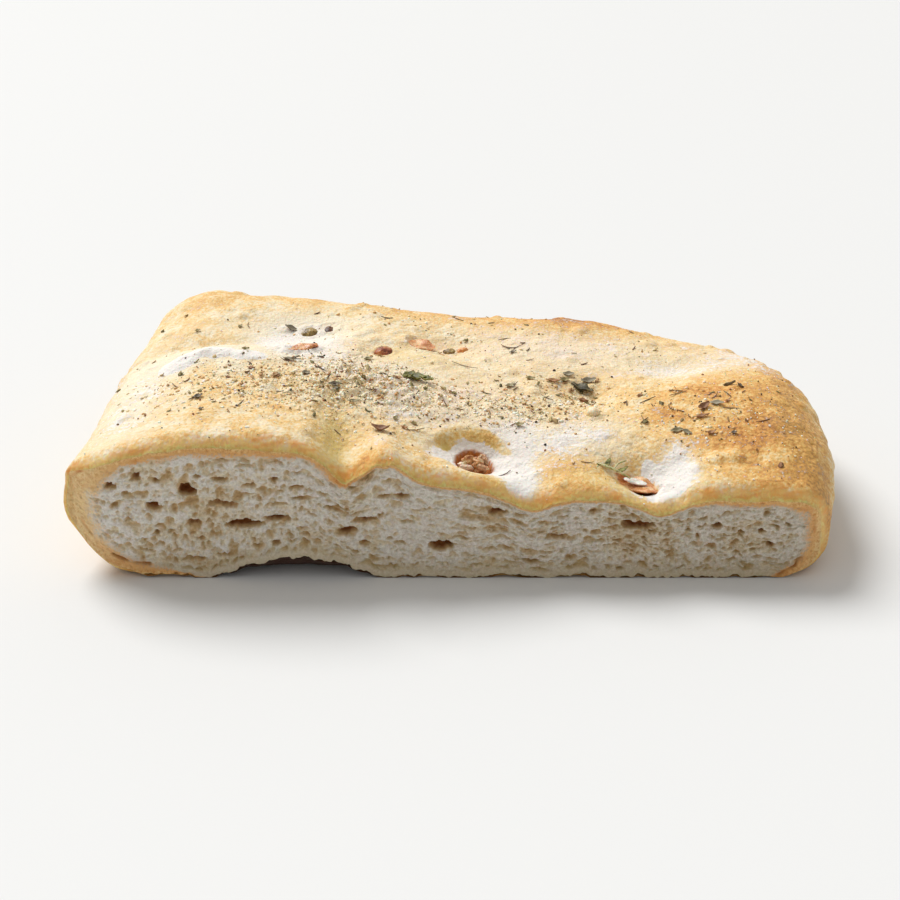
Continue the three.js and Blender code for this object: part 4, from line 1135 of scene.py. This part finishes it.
# The garlic in the front dimple: shrivelled shreds crowded in the hole, fused as one piece, with a
# whitish flap in front. Size, place inside the piece, turn, paleness and seed of each shred.
GARLIC_SHREDS = (
    (6.6, 5.4, 3.4, 0.2, 0.0, -0.7, 0.0, 0.0, 3), (3.4, 1.6, 2.0, -2.6, -1.6, 0.9, -0.35, 0.75, 5),
    (4.2, 2.4, 2.8, -0.9, 1.2, 1.5, 0.45, 0.0, 9), (3.4, 1.5, 2.2, 0.9, -0.5, 1.8, -0.9, 0.1, 12),
    (1.2, 4.0, 3.0, 3.1, 0.5, 1.2, 0.15, 0.25, 14), (3.6, 1.4, 1.8, 1.2, -2.6, 0.9, -0.6, 0.2, 17),
    (2.8, 1.5, 2.0, -2.3, 0.4, 1.1, 0.9, 0.0, 19), (2.4, 1.3, 1.8, 1.9, 1.2, 1.5, 0.9, 0.35, 23),
    (2.4, 1.6, 1.4, -3.4, 0.2, 1.0, -0.7, 0.85, 27), (2.6, 1.3, 1.6, 0.2, -1.7, 1.4, 0.2, 0.0, 29),
)
shreds = [
    turned(lump(width, length, height, 0.3, 0.3, seed), turn) + (x, y, z)
    for width, length, height, x, y, z, turn, _, seed in GARLIC_SHREDS
]
garlic = make_piece(
    "garlic_front_cooked", seated(np.vstack(shreds), 6.3, 15.8, 0.2, 0.3),
    [part + k * ball_size for k in range(len(shreds)) for part in one_ball], garlic_paint,
    {"pale": np.repeat([shred[7] for shred in GARLIC_SHREDS], ball_size)})
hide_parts("garlic_front")
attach(garlic, "root")

# Onion petals and a garlic sliver: thin curved layers, translucent and browned by the oven.
# Each is a lens pointed at its ends, cupped across, curled along and wavy.
PETAL_ALONG, PETAL_ACROSS = 48, 20


def sheet_faces(along_steps, across_steps):
    """Faces of a closed thin sheet: an upper and a lower grid of points that share their border."""
    upper = np.arange((along_steps + 1) * (across_steps + 1)).reshape(along_steps + 1, across_steps + 1)
    lower = upper.copy()
    inner = (along_steps - 1) * (across_steps - 1)
    lower[1:-1, 1:-1] = upper.size + np.arange(inner).reshape(along_steps - 1, across_steps - 1)
    over = np.stack([upper[:-1, :-1], upper[1:, :-1], upper[1:, 1:], upper[:-1, 1:]], -1).reshape(-1, 4)
    under = np.stack([lower[:-1, :-1], lower[:-1, 1:], lower[1:, 1:], lower[1:, :-1]], -1).reshape(-1, 4)
    return [over, under]


def petal(length, width, thickness, cup, curl, wave, seed, steps=(PETAL_ALONG, PETAL_ACROSS)):
    """Points of a petal: half width by a half ellipse, middle surface by cup, curl and wave, and a
    thickness that falls to nothing at the border; its edge is nibbled and its surface puckered."""
    s = np.sin(np.linspace(-1, 1, steps[0] + 1) * math.pi / 2)[:, None]
    t = np.sin(np.linspace(-1, 1, steps[1] + 1) * math.pi / 2)[None, :]
    nibbled = 1 + 0.16 * waves(3 * s, 0, np.sign(t), 0.5, seed)
    half_width = width / 2 * (0.12 + 0.88 * np.sqrt(1 - s * s)) * nibbled
    body = thickness / 2 * np.sqrt((1 - s * s) * (1 - t * t))
    x = s * length / 2 + 0 * t
    y = t * half_width
    middle = curl * s * s + cup * t * t * (1 - s * s) + wave * np.sin(5 * s + 2 * t)
    puckers = 0.1 * waves(x, y, 0, 1.6, seed + 1) + 0.06 * waves(x / 3, y, 0, 0.5, seed + 2)
    middle = middle + thickness * puckers
    upper = np.stack([x, y, middle + body], -1)
    lower = np.stack([x, y, middle - body], -1)[1:-1, 1:-1]
    return np.vstack([upper.reshape(-1, 3), lower.reshape(-1, 3)])


onion_paint = food_material(
    "roasted_onion", (178, 106, 54), (212, 148, 92), (238, 196, 150), 3.2, 0.8, 0.15,
    Roughness=0.3, Subsurface_Weight=0.3, Subsurface_Scale=0.0015)
sliver_paint = food_material(
    "garlic_sliver", (206, 200, 184), (236, 232, 222), (250, 249, 245), 2.6, 0.7, 0.1,
    Roughness=0.25, Subsurface_Weight=0.3, Subsurface_Scale=0.0015)
PETALS_ON_TOP = (
    ("onion_petal_right", "roasted_onion", onion_paint,
     49, 11.3, 0.5, -0.45, 0.05, 13.5, 8, 1.6, 1.2, 0.6, 0.35, 1),
    ("garlic_sliver_right", "pale_garlic", sliver_paint,
     48.6, 11.6, 1.9, -0.5, 0.05, 6.4, 2.7, 1.0, 0.1, 0.1, 0.05, 2),
    ("onion_strip_back", "roasted_onion", onion_paint,
     -42.4, 59.8, 0, 0.55, 0.0, 10, 4, 1.6, 0.7, 0.3, 0.3, 3),
    ("onion_petal_back", "roasted_onion", onion_paint,
     -9, 76.4, 0.4, -0.75, 0.0, 10.5, 6.4, 1.5, 1, 0.4, 0.2, 4),
)
petal_grid = sheet_faces(PETAL_ALONG, PETAL_ACROSS)
for name, slot, food, x, y, lift, turn, tilt, *shape in PETALS_ON_TOP:
    piece = make_piece(name + "_cooked", seated(petal(*shape), x, y, lift, turn, tilt), petal_grid, food)
    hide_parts(name)
    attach(piece, "root")

# Fresh-looking herbs: the sprig by the right dimple, the clump in the middle and the dark leaf.
# Leaves are small petals; stalks are tubes through a few places.
STALK_SIDES, STALK_RINGS = 10, 28


def stalk(places, thickness):
    """Points of a stalk: rings round a smooth path through the places, closed by a point at each end."""
    places = np.array(places, float)
    at = np.linspace(0, len(places) - 1, STALK_RINGS)
    path = np.stack([through_values(places[:, k], (0, 1), at) for k in range(3)], -1)
    ahead = np.gradient(path, axis=0)
    ahead /= np.linalg.norm(ahead, axis=1, keepdims=True)
    aside = np.cross(ahead, (0, 0, 1))
    aside /= np.linalg.norm(aside, axis=1, keepdims=True)
    upward = np.cross(aside, ahead)
    turn = np.arange(STALK_SIDES) / STALK_SIDES * 2 * math.pi
    taper = thickness / 2 * np.sqrt(np.sin(np.linspace(0.25, math.pi - 0.25, STALK_RINGS)))[:, None, None]
    ring = path[:, None] + taper * (
        np.cos(turn)[:, None] * aside[:, None] + np.sin(turn)[:, None] * upward[:, None])
    return np.vstack([path[0] - 0.1 * ahead[0], ring.reshape(-1, 3), path[-1] + 0.1 * ahead[-1]])


def joined(*shapes):
    """Several closed shapes as one list of points and one list of faces."""
    points = np.vstack([shape for shape, _ in shapes])
    starts = np.concatenate([[0], np.cumsum([len(shape) for shape, _ in shapes])[:-1]])
    return points, [part + start for start, (_, faces) in zip(starts, shapes) for part in faces]


stalk_tube = ball_faces(STALK_SIDES, STALK_RINGS + 1)
herb_paint = food_material(
    "soft_herb", (60, 62, 22), (112, 112, 46), (164, 160, 92), 2.2, 0.6, 0.15,
    Roughness=0.5, Subsurface_Weight=0.15, Subsurface_Scale=0.0008)
dark_herb_paint = food_material(
    "dark_herb", (44, 40, 22), (78, 70, 42), (132, 122, 90), 2.2, 0.6, 0.15, Roughness=0.55)
stalk_paint = food_material(
    "pale_stalk", (150, 146, 84), (196, 192, 140), (226, 222, 184), 2.0, 0.6, 0.1,
    Roughness=0.45, Subsurface_Weight=0.2, Subsurface_Scale=0.0008)
sprig_leaves, sprig_leaf_faces = joined(
    (turned(petal(5, 1.3, 0.5, 0.2, 0.4, 0.1, 5), 1.2) + (-0.3, 2.1, 0.6), petal_grid),
    (turned(petal(4.4, 1.3, 0.5, 0.2, 0.4, 0.1, 6), 0.7) + (3.3, -0.8, 0.1), petal_grid),
    (turned(petal(3.0, 0.9, 0.4, 0.2, 0.3, 0.15, 7), -0.6) + (-3.6, 1.7, 0.7), petal_grid),
    (turned(petal(2.6, 0.8, 0.4, 0.2, 0.3, 0.15, 8), 0.3) + (-4.6, -0.4, 0.4), petal_grid))
sprig_stalks, sprig_stalk_faces = joined(
    (stalk([[-4.5, 3.5, 0.4], [-1.5, 0.6, 0.8], [2, -1.8, 0.3], [5.2, -3.4, -1]], 0.75), stalk_tube),
    (stalk([[-2.4, 1.4, 0.7], [-4, -0.6, 0.4], [-6, -0.9, 0]], 0.6), stalk_tube),
    (stalk([[1.0, -1.2, 0.5], [2.4, 0.6, 1.3], [4.6, 1.6, 1.7]], 0.5), stalk_tube))
clump, clump_faces = joined(
    (petal(6.2, 3.0, 0.9, 0.6, 0.3, 0.3, 9), petal_grid),
    (turned(petal(5.0, 2.4, 0.8, 0.5, 0.4, 0.2, 10), 0.9) + (-2.6, 1.4, 0.2), petal_grid),
    (turned(petal(4.4, 2.0, 0.8, 0.5, 0.4, 0.2, 11), -0.4) + (2.4, -1.2, 0.1), petal_grid))
HERBS_ON_TOP = (
    ("sprig_leaves", "herb_sprig_right", "herb", herb_paint,
     sprig_leaves, sprig_leaf_faces, 41.8, 13, 0.8, 0.0, 0.0),
    ("sprig_stalks", "herb_sprig_right", "herb", stalk_paint,
     sprig_stalks, sprig_stalk_faces, 41.8, 13, 0.8, 0.0, 0.0),
    ("clump_leaves", "herb_clump_middle", "herb", herb_paint,
     clump, clump_faces, -9, 48.5, 0.5, 0.0, 0.0),
    ("dark_leaf", "dark_leaf_right", "dark_herb", dark_herb_paint,
     petal(7, 3.4, 1, 0.8, 0.5, 0.3, 12), petal_grid, 38, 56.5, 0.6, -0.7, 0.1),
)
for name, replaced, slot, food, points, faces, *seat in HERBS_ON_TOP:
    piece = make_piece(name, seated(points, *seat), faces, food)
    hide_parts(replaced)
    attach(piece, "root")

# Seasoning scattered over the top: dried herb flakes and stems, pepper, garlic granules and salt.
# Each kind is one piece made of many small closed shapes that sit on the crust as it really is.
GOLDEN_ANGLE = math.pi * (3 - math.sqrt(5))
skin_tree = BVHTree.FromObject(crust, bpy.context.evaluated_depsgraph_get())
HERB_PATCHES = (
    (-28, 42, 12, 14, 220), (-46, 34, 20, 13, 150), (-62, 36, 18, 16, 90), (-12, 42, 11, 13, 80),
    (16, 37, 16, 9, 120), (20, 56, 12, 6, 40), (37, 54, 8, 9, 60), (70, 34, 15, 12, 50), (55, 42, 8, 6, 12),
    (-5, 92, 50, 13, 40), (54, 80, 18, 11, 36), (90, 30, 8, 26, 20), (-78, 48, 12, 26, 20),
    (25, 10, 30, 8, 10),
)
FLAKE_LEAST, FLAKE_MOST = 0.45, 2.3
FLAKE_ALONG, FLAKE_ACROSS = 5, 2


def dropped(x, y):
    """The skin's point and normal straight below a place, or none beyond the bread."""
    start = Vector(((x + cut_origin[0]) * MM, (y + cut_origin[1]) * MM, 0.1))
    return skin_tree.ray_cast(start, Vector((0, 0, -1)))[:2]


def spread(table, seed):
    """Places in bell-shaped patches, densest in the middle, kept on the top and off the cut."""
    places = []
    for p, (x, y, wide, long, count) in enumerate(table):
        number = seed + 131 * p + np.arange(count)
        away = 0.62 * np.sqrt(-2 * np.log(1 - 0.985 * draws(number)))
        angle = np.arange(count) * GOLDEN_ANGLE + draws(number + 0.31)
        places.append(np.stack([x + wide * away * np.cos(angle), y + long * away * np.sin(angle)], -1))
    places = np.vstack(places)
    inward = distance_to(outline, places[:, 0], places[:, 1])
    open_top = (ledge_ratio(*places.T) > 1.15) & (pocket_ratio(*places.T) > 1.1)
    kept = (places[:, 1] > 1.2) & (inward > 3) & open_top
    return np.array([place for place in places[kept] if dropped(*place)[0] is not None])


def frames(places, seed, tilt):
    """Where each shape sits and its three directions: the skin's point and normal straight below,
    a draw for the turn, and a lean of up to the given angle."""
    seats = []
    for x, y in places:
        at, normal = dropped(x, y)
        seats.append((*(np.array(at) / MM - cut_origin), *normal))
    seats = np.array(seats)
    number = seed + np.arange(len(seats))
    up = seats[:, 3:]
    turn = 2 * math.pi * draws(number + 0.17)[:, None]
    along_skin = np.cos(turn) * (1, 0, 0) + np.sin(turn) * (0, 1, 0)
    along_skin = along_skin - up * (along_skin * up).sum(1, keepdims=True)
    along_skin /= np.linalg.norm(along_skin, axis=1, keepdims=True)
    aside = np.cross(up, along_skin)
    lean = tilt * (2 * draws(number + 0.53)[:, None] - 1)
    ahead = np.cos(lean) * along_skin + np.sin(lean) * up
    up = np.cos(lean) * up - np.sin(lean) * along_skin
    return seats[:, :3], ahead, aside, up


def scattered(name, shapes, faces, seats, lift, material, smooth=True, shades=None):
    """One piece of many shapes, each given in its own frame and lifted off the skin by its share."""
    at, ahead, aside, up = seats
    placed = (at[:, None] + shapes[..., :1] * ahead[:, None] + shapes[..., 1:2] * aside[:, None]
              + (shapes[..., 2:] + lift[:, None, None]) * up[:, None])
    count, size = shapes.shape[:2]
    step = (np.arange(count) * size)[:, None, None]
    every = [(part[None] + step).reshape(-1, part.shape[-1]) for part in faces]
    if shades is None:
        shades = draws(np.arange(count) + 0.71 + len(name))
    measures = {"shade": np.repeat(shades, size)}
    piece = make_piece(name, placed.reshape(-1, 3), every, material, measures, smooth)
    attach(piece, "root")
    return piece


def shaded_material(name, stops, fine, **uniform):
    """Small dry things whose colour goes by each one's own shade, with a little grain."""
    material, tree, shader = new_material(name, **uniform)
    tone = plus(tree, measure(tree, "shade"), centred(tree, grained(tree, 1.5, fine)[2], 0.5))
    tree.links.new(ramp(tree, tone, stops), shader.inputs["Base Color"])
    return material


def many_leaves(sizes, seed):
    """Torn dry leaves, one for each size: small closed sheets, each with its own width, cup, curl
    and twist, and an edge broken by draws."""
    count = len(sizes)
    number = seed + np.arange(count)[:, None, None]
    s = np.sin(np.linspace(-1, 1, FLAKE_ALONG + 1) * math.pi / 2)[None, :, None]
    t = np.linspace(-1, 1, FLAKE_ACROSS + 1)[None, None, :]
    size = sizes[:, None, None]
    torn = 0.7 + 0.6 * draws(number * 7.3 + np.arange(s.size)[None, :, None] + 31 * t)
    half = size * (0.14 + 0.2 * draws(number + 0.1)) * (0.25 + 0.75 * np.sqrt(1 - s * s)) * torn
    x = s * size / 2 + 0 * t
    y = t * half + 0.12 * size * (draws(number + 0.4) - 0.5) * s * s
    middle = size * (0.22 * draws(number + 0.2) * s * s + 0.3 * draws(number + 0.3) * t * t * (1 - s * s)
                     + 0.25 * (draws(number + 0.6) - 0.5) * s * t + 0.06 * np.sin(6 * s + 9 * draws(number)))
    body = (0.07 + 0.03 * size) * np.sqrt((1 - s * s) * (1 - t * t))
    upper = np.stack([x, y, middle + body], -1).reshape(count, -1, 3)
    lower = np.stack([x, y, middle - body], -1)[:, 1:-1, 1:-1].reshape(count, -1, 3)
    return np.concatenate([upper, lower], axis=1)


flake_places = spread(HERB_PATCHES, 1)
flake_draw = draws(np.arange(len(flake_places)) + 0.91)
flake_sizes = FLAKE_LEAST + (FLAKE_MOST - FLAKE_LEAST) * flake_draw ** 6
herb_flakes = scattered(
    "herb_flakes", many_leaves(flake_sizes, 5), sheet_faces(FLAKE_ALONG, FLAKE_ACROSS),
    frames(flake_places, 11, 0.35), 0.04 + 0.02 * flake_sizes, shaded_material(
        "dried_herb", (
            (0.0, (108, 98, 60)), (0.3, (152, 138, 86)), (0.55, (190, 168, 116)), (0.75, (200, 156, 106)),
            (0.95, (128, 84, 52))), 0.6, Roughness=0.7))

# Dried stems: thin bent sticks among the flakes, and four long ones seen from the front.
STEM_PATCHES = (
    (-28, 40, 14, 16, 16), (-48, 34, 22, 14, 12), (15, 40, 20, 14, 14), (60, 42, 14, 8, 10),
    (20, 76, 18, 8, 8), (72, 34, 14, 10, 8), (-5, 92, 45, 10, 8),
)
LONG_STEMS = (
    (-9.3, 20.8, 5.6, 0.45), (14.4, 11.2, 4.6, 0.75), (4.2, 61.5, 8.0, -0.35), (36.0, 13.6, 3.4, 0.1),
    (20.0, 77.5, 5.5, 0.9), (52.7, 31.9, 4.0, 0.9), (63.7, 45.2, 5.0, 0.25), (55.2, 44.1, 5.0, 0.35),
)
STEM_SIDES, STEM_RINGS = 5, 4


def many_stems(lengths, seed):
    """Bent sticks, one for each length: tubes of a few rings along a parabola, closed by points."""
    count = len(lengths)
    number = seed + np.arange(count)[:, None, None]
    s = np.linspace(-1, 1, STEM_RINGS)[None, :, None]
    turn = (np.arange(STEM_SIDES) / STEM_SIDES * 2 * math.pi)[None, None, :]
    length = lengths[:, None, None]
    radius = (0.11 + 0.09 * draws(number + 0.2)) * (1 - 0.3 * s * s)
    bend = length * (0.25 * (draws(number + 0.4) - 0.5)) * s * s
    x = s * length / 2 + 0 * turn
    y = bend + radius * np.cos(turn)
    z = 0.05 * length * s * s + radius * np.sin(turn)
    ring = np.stack([x, y, z], -1).reshape(count, -1, 3)
    start = ring[:, :STEM_SIDES].mean(1, keepdims=True) - length * (0.02, 0, 0)
    end = ring[:, -STEM_SIDES:].mean(1, keepdims=True) + length * (0.02, 0, 0)
    return np.concatenate([start, ring, end], axis=1)


stem_places = np.vstack([spread(STEM_PATCHES, 3), np.array(LONG_STEMS)[:, :2]])
stem_lengths = 1.6 + 3.0 * draws(np.arange(len(stem_places)) + 0.77) ** 2
stem_lengths[-len(LONG_STEMS):] = np.array(LONG_STEMS)[:, 2]
stem_seats = frames(stem_places, 21, 0.12)
for k, (_, _, _, turn) in enumerate(LONG_STEMS, len(stem_places) - len(LONG_STEMS)):
    up = stem_seats[3][k]
    ahead = np.cross(np.cross(up, (math.cos(turn), math.sin(turn), 0)), up)
    stem_seats[1][k] = ahead / np.linalg.norm(ahead)
    stem_seats[2][k] = np.cross(up, stem_seats[1][k])
herb_stems = scattered(
    "herb_stems", many_stems(stem_lengths, 8), ball_faces(STEM_SIDES, STEM_RINGS + 1), stem_seats,
    0.16 + 0 * stem_lengths, shaded_material(
        "dried_stem", (
            (0.1, (84, 66, 52)), (0.45, (140, 112, 74)), (0.8, (120, 76, 52)), (1.0, (74, 50, 40))),
        0.5, Roughness=0.6))

# Pepper and dark crumbs of herb: small broken grains.
SPECK_PATCHES = (
    (-3, 34, 9, 8, 36), (-28, 40, 16, 18, 90), (-52, 34, 22, 16, 70), (16, 37, 18, 10, 90),
    (38, 50, 10, 12, 40), (70, 34, 18, 16, 44), (0, 80, 60, 24, 46), (-60, 16, 26, 12, 22),
    (10, 12, 60, 10, 20), (90, 40, 9, 34, 22),
)


def twelve_points():
    """The corners of a ball of twenty triangles, on a ball of radius 1."""
    golden = (1 + math.sqrt(5)) / 2
    corners = [(0, a, b * golden) for a in (-1, 1) for b in (-1, 1)]
    return np.array([np.roll(c, k) for c in corners for k in range(3)]) / math.hypot(1, golden)


def many_grains(sizes, seed, flatten):
    """Broken grains, one for each size: a twelve-pointed ball whose points are drawn in and out."""
    number = seed + np.arange(len(sizes))[:, None, None]
    factor = 0.72 + 0.5 * draws(number * 3.7 + np.arange(12)[None, :, None])
    stretch = np.concatenate([1 + 0 * number, 0.6 + 0.4 * draws(number + 0.3), flatten + 0 * number], axis=2)
    return twelve_points()[None] * factor * stretch * sizes[:, None, None] / 2


def grain_faces():
    """The twenty triangles of the twelve-pointed ball, each wound to face outward."""
    corners = twelve_points()
    near = np.linalg.norm(corners[:, None] - corners[None], axis=2) < 1.1
    faces = []
    for a, b, c in itertools.combinations(range(12), 3):
        if near[a, b] and near[b, c] and near[a, c]:
            facing = np.dot(np.cross(corners[b] - corners[a], corners[c] - corners[a]), corners[a]) > 0
            faces.append((a, b, c) if facing else (a, c, b))
    return [np.array(faces)]


def strewn(name, table, seeds, sizes, flatten, tilt, lift, material, smooth=True):
    """One kind of grains: the seeds of their places, sizes, shapes and seats; their least size, what
    the draws add and the draws' power; how flat they are, how far they lean and how high they sit."""
    places = spread(table, seeds[0])
    least, more, power = sizes
    sizes = least + more * draws(np.arange(len(places)) + seeds[1]) ** power
    shapes, seats = many_grains(sizes, seeds[2], flatten), frames(places, seeds[3], tilt)
    return scattered(name, shapes, grain_faces(), seats, lift * sizes, material, smooth)


specks = strewn(
    "pepper_specks", SPECK_PATCHES, (5, 0.63, 15, 31), (0.25, 0.7, 2), 0.7, 0.5, 0.2, shaded_material(
        "pepper", (
            (0.1, (52, 40, 30)), (0.4, (112, 86, 54)), (0.7, (168, 132, 84)), (0.95, (164, 92, 58))),
        0.4, Roughness=0.6))

# Granules of dried garlic and crumbs of dough, cream to tan, crowded on the left and in the middle.
GRANULE_PATCHES = (
    (-44, 34, 20, 12, 1800), (-27, 40, 14, 16, 2100), (-12, 38, 11, 12, 1000), (14, 38, 18, 9, 1200),
    (36, 46, 9, 12, 500), (70, 34, 16, 14, 250), (0, 85, 60, 20, 400), (-62, 32, 20, 18, 600),
)
granules = strewn(
    "garlic_granules", GRANULE_PATCHES, (7, 0.41, 25, 41), (0.3, 1.3, 6), 0.55, 0.8, 0.0, shaded_material(
        "dried_garlic", (
            (0.02, (206, 160, 100)), (0.25, (234, 202, 148)), (0.55, (245, 228, 192)),
            (0.9, (252, 246, 234))),
        0.5, Roughness=0.55, Subsurface_Weight=0.25, Subsurface_Scale=0.0008))

# Salt: tiny clear crystals that catch the light on the right of the top and along the front.
SALT_PATCHES = (
    (72, 26, 22, 18, 200), (20, 8, 50, 6, 60), (-60, 14, 26, 12, 60), (0, 50, 70, 30, 100),
    (84, 50, 10, 24, 60),
)
salt = strewn(
    "salt_crystals", SALT_PATCHES, (9, 0.23, 35, 51), (0.28, 0.4, 2), 0.9, 0.6, 0.25, shaded_material(
        "salt", ((0.0, (253, 246, 228)), (1.0, (255, 253, 246))), 0.5,
        Roughness=0.25, Subsurface_Weight=0.5, Subsurface_Scale=0.0005), smooth=False)

# Flakes large enough to be seen singly: place, length, width, turn, lift of the ends and shade
LARGE_FLAKES = (
    (-18.0, 16.5, 6.2, 2.6, -0.35, 1.5, 0.95), (-12.2, 20.6, 2.2, 1.2, 0.2, 0.3, 0.8),
    (-66.8, 24.7, 3.2, 1.6, 0.5, 0.5, 0.02), (-64.6, 15.9, 1.8, 1.2, 0.4, 0.3, 0.1),
    (-45.3, 50.2, 4.2, 1.6, 0.1, 0.5, 0.15), (-43.6, 51.8, 3.2, 1.4, 0.4, 0.4, 0.05),
    (-57.8, 54.2, 2.6, 1.6, 0.3, 0.3, 0.4), (-75.5, 79.0, 2.0, 1.2, 0.3, 0.3, 0.4),
    (-63.6, 84.5, 2.4, 1.3, 1.2, 0.3, 0.35), (69.8, 36.4, 4.2, 2.4, 0.5, 1.0, 0.95),
    (68.6, 31.6, 5.0, 1.6, 0.05, 0.4, 0.9), (73.5, 37.3, 4.4, 2.0, -0.4, 0.4, 0.2),
    (61.0, 26.6, 4.2, 1.8, 0.3, 0.4, 0.3), (63.4, 25.2, 3.6, 1.6, -0.3, 0.4, 0.25),
    (69.9, 24.0, 3.4, 1.4, 0.2, 0.8, 0.85), (75.9, 23.4, 2.0, 1.2, 0.1, 0.3, 0.0),
    (79.1, 49.1, 4.6, 2.2, 0.1, 0.6, 0.1), (81.5, 47.8, 2.6, 1.6, -0.2, 0.4, 0.0),
    (-48.5, 87.5, 5.5, 2.2, 0.0, 0.6, 0.12), (40.0, 59.5, 5.4, 2.6, 0.2, 1.0, 0.15),
    (37.8, 50.6, 3.8, 2.2, -0.1, 0.5, 0.9), (33.0, 59.0, 3.4, 1.8, 0.4, 0.5, 0.4),
    (29.7, 57.6, 5.0, 1.5, -0.1, 0.4, 0.8), (17.0, 50.4, 3.6, 1.8, 0.4, 0.6, 0.3),
    (23.0, 56.6, 3.4, 1.6, 0.2, 0.5, 0.35), (18.7, 28.8, 3.2, 1.6, 0.1, 0.6, 0.35),
    (-14.7, 24.2, 2.2, 1.5, 1.2, 0.4, 0.4), (34.6, 62.0, 4.0, 2.0, -0.3, 0.6, 0.2),
    (53.6, 47.6, 2.6, 1.0, 0.6, 0.4, 0.85), (76.7, 38.5, 2.6, 1.0, 0.8, 0.4, 0.8),
    (18.7, 73.5, 2.6, 1.0, 0.3, 0.3, 0.05), (-23.5, 58.5, 3.6, 1.4, 0.6, 0.5, 0.3),
    (-31.5, 36.0, 3.6, 1.8, 0.2, 0.5, 0.1), (-26.0, 28.6, 4.0, 1.2, 0.1, 0.4, 0.3),
    (-40.0, 43.0, 3.0, 1.6, 0.5, 0.4, 0.2), (-55.0, 43.5, 3.0, 1.2, -0.3, 0.3, 0.9),
    (-47.8, 39.0, 2.6, 1.6, 0.8, 0.3, 0.7),
)
LARGE_STEPS = (12, 6)
named = np.array(LARGE_FLAKES)
flat_leaves = [
    petal(0.85 * length, 0.8 * width, 0.34, 0.3 * width, lift, 0.15, length, LARGE_STEPS)
    for _, _, length, width, _, lift, _ in LARGE_FLAKES]
large_seats = list(frames(named[:, :2], 61, 0.0))
turns = named[:, 4:5]
heading = np.hstack([np.cos(turns), np.sin(turns), 0 * turns])
heading = np.cross(np.cross(large_seats[3], heading), large_seats[3])
large_seats[1] = heading / np.linalg.norm(heading, axis=1, keepdims=True)
large_seats[2] = np.cross(large_seats[3], large_seats[1])
large_flakes = scattered(
    "large_flakes", np.array(flat_leaves), sheet_faces(*LARGE_STEPS), large_seats, 0.2 + 0 * named[:, 0],
    shaded_material(
        "dried_leaf", (
            (0.0, (110, 98, 84)), (0.2, (158, 148, 126)), (0.4, (160, 148, 100)), (0.75, (186, 138, 94)),
            (1.0, (122, 78, 50))), 0.6, Roughness=0.6), shades=named[:, 6])
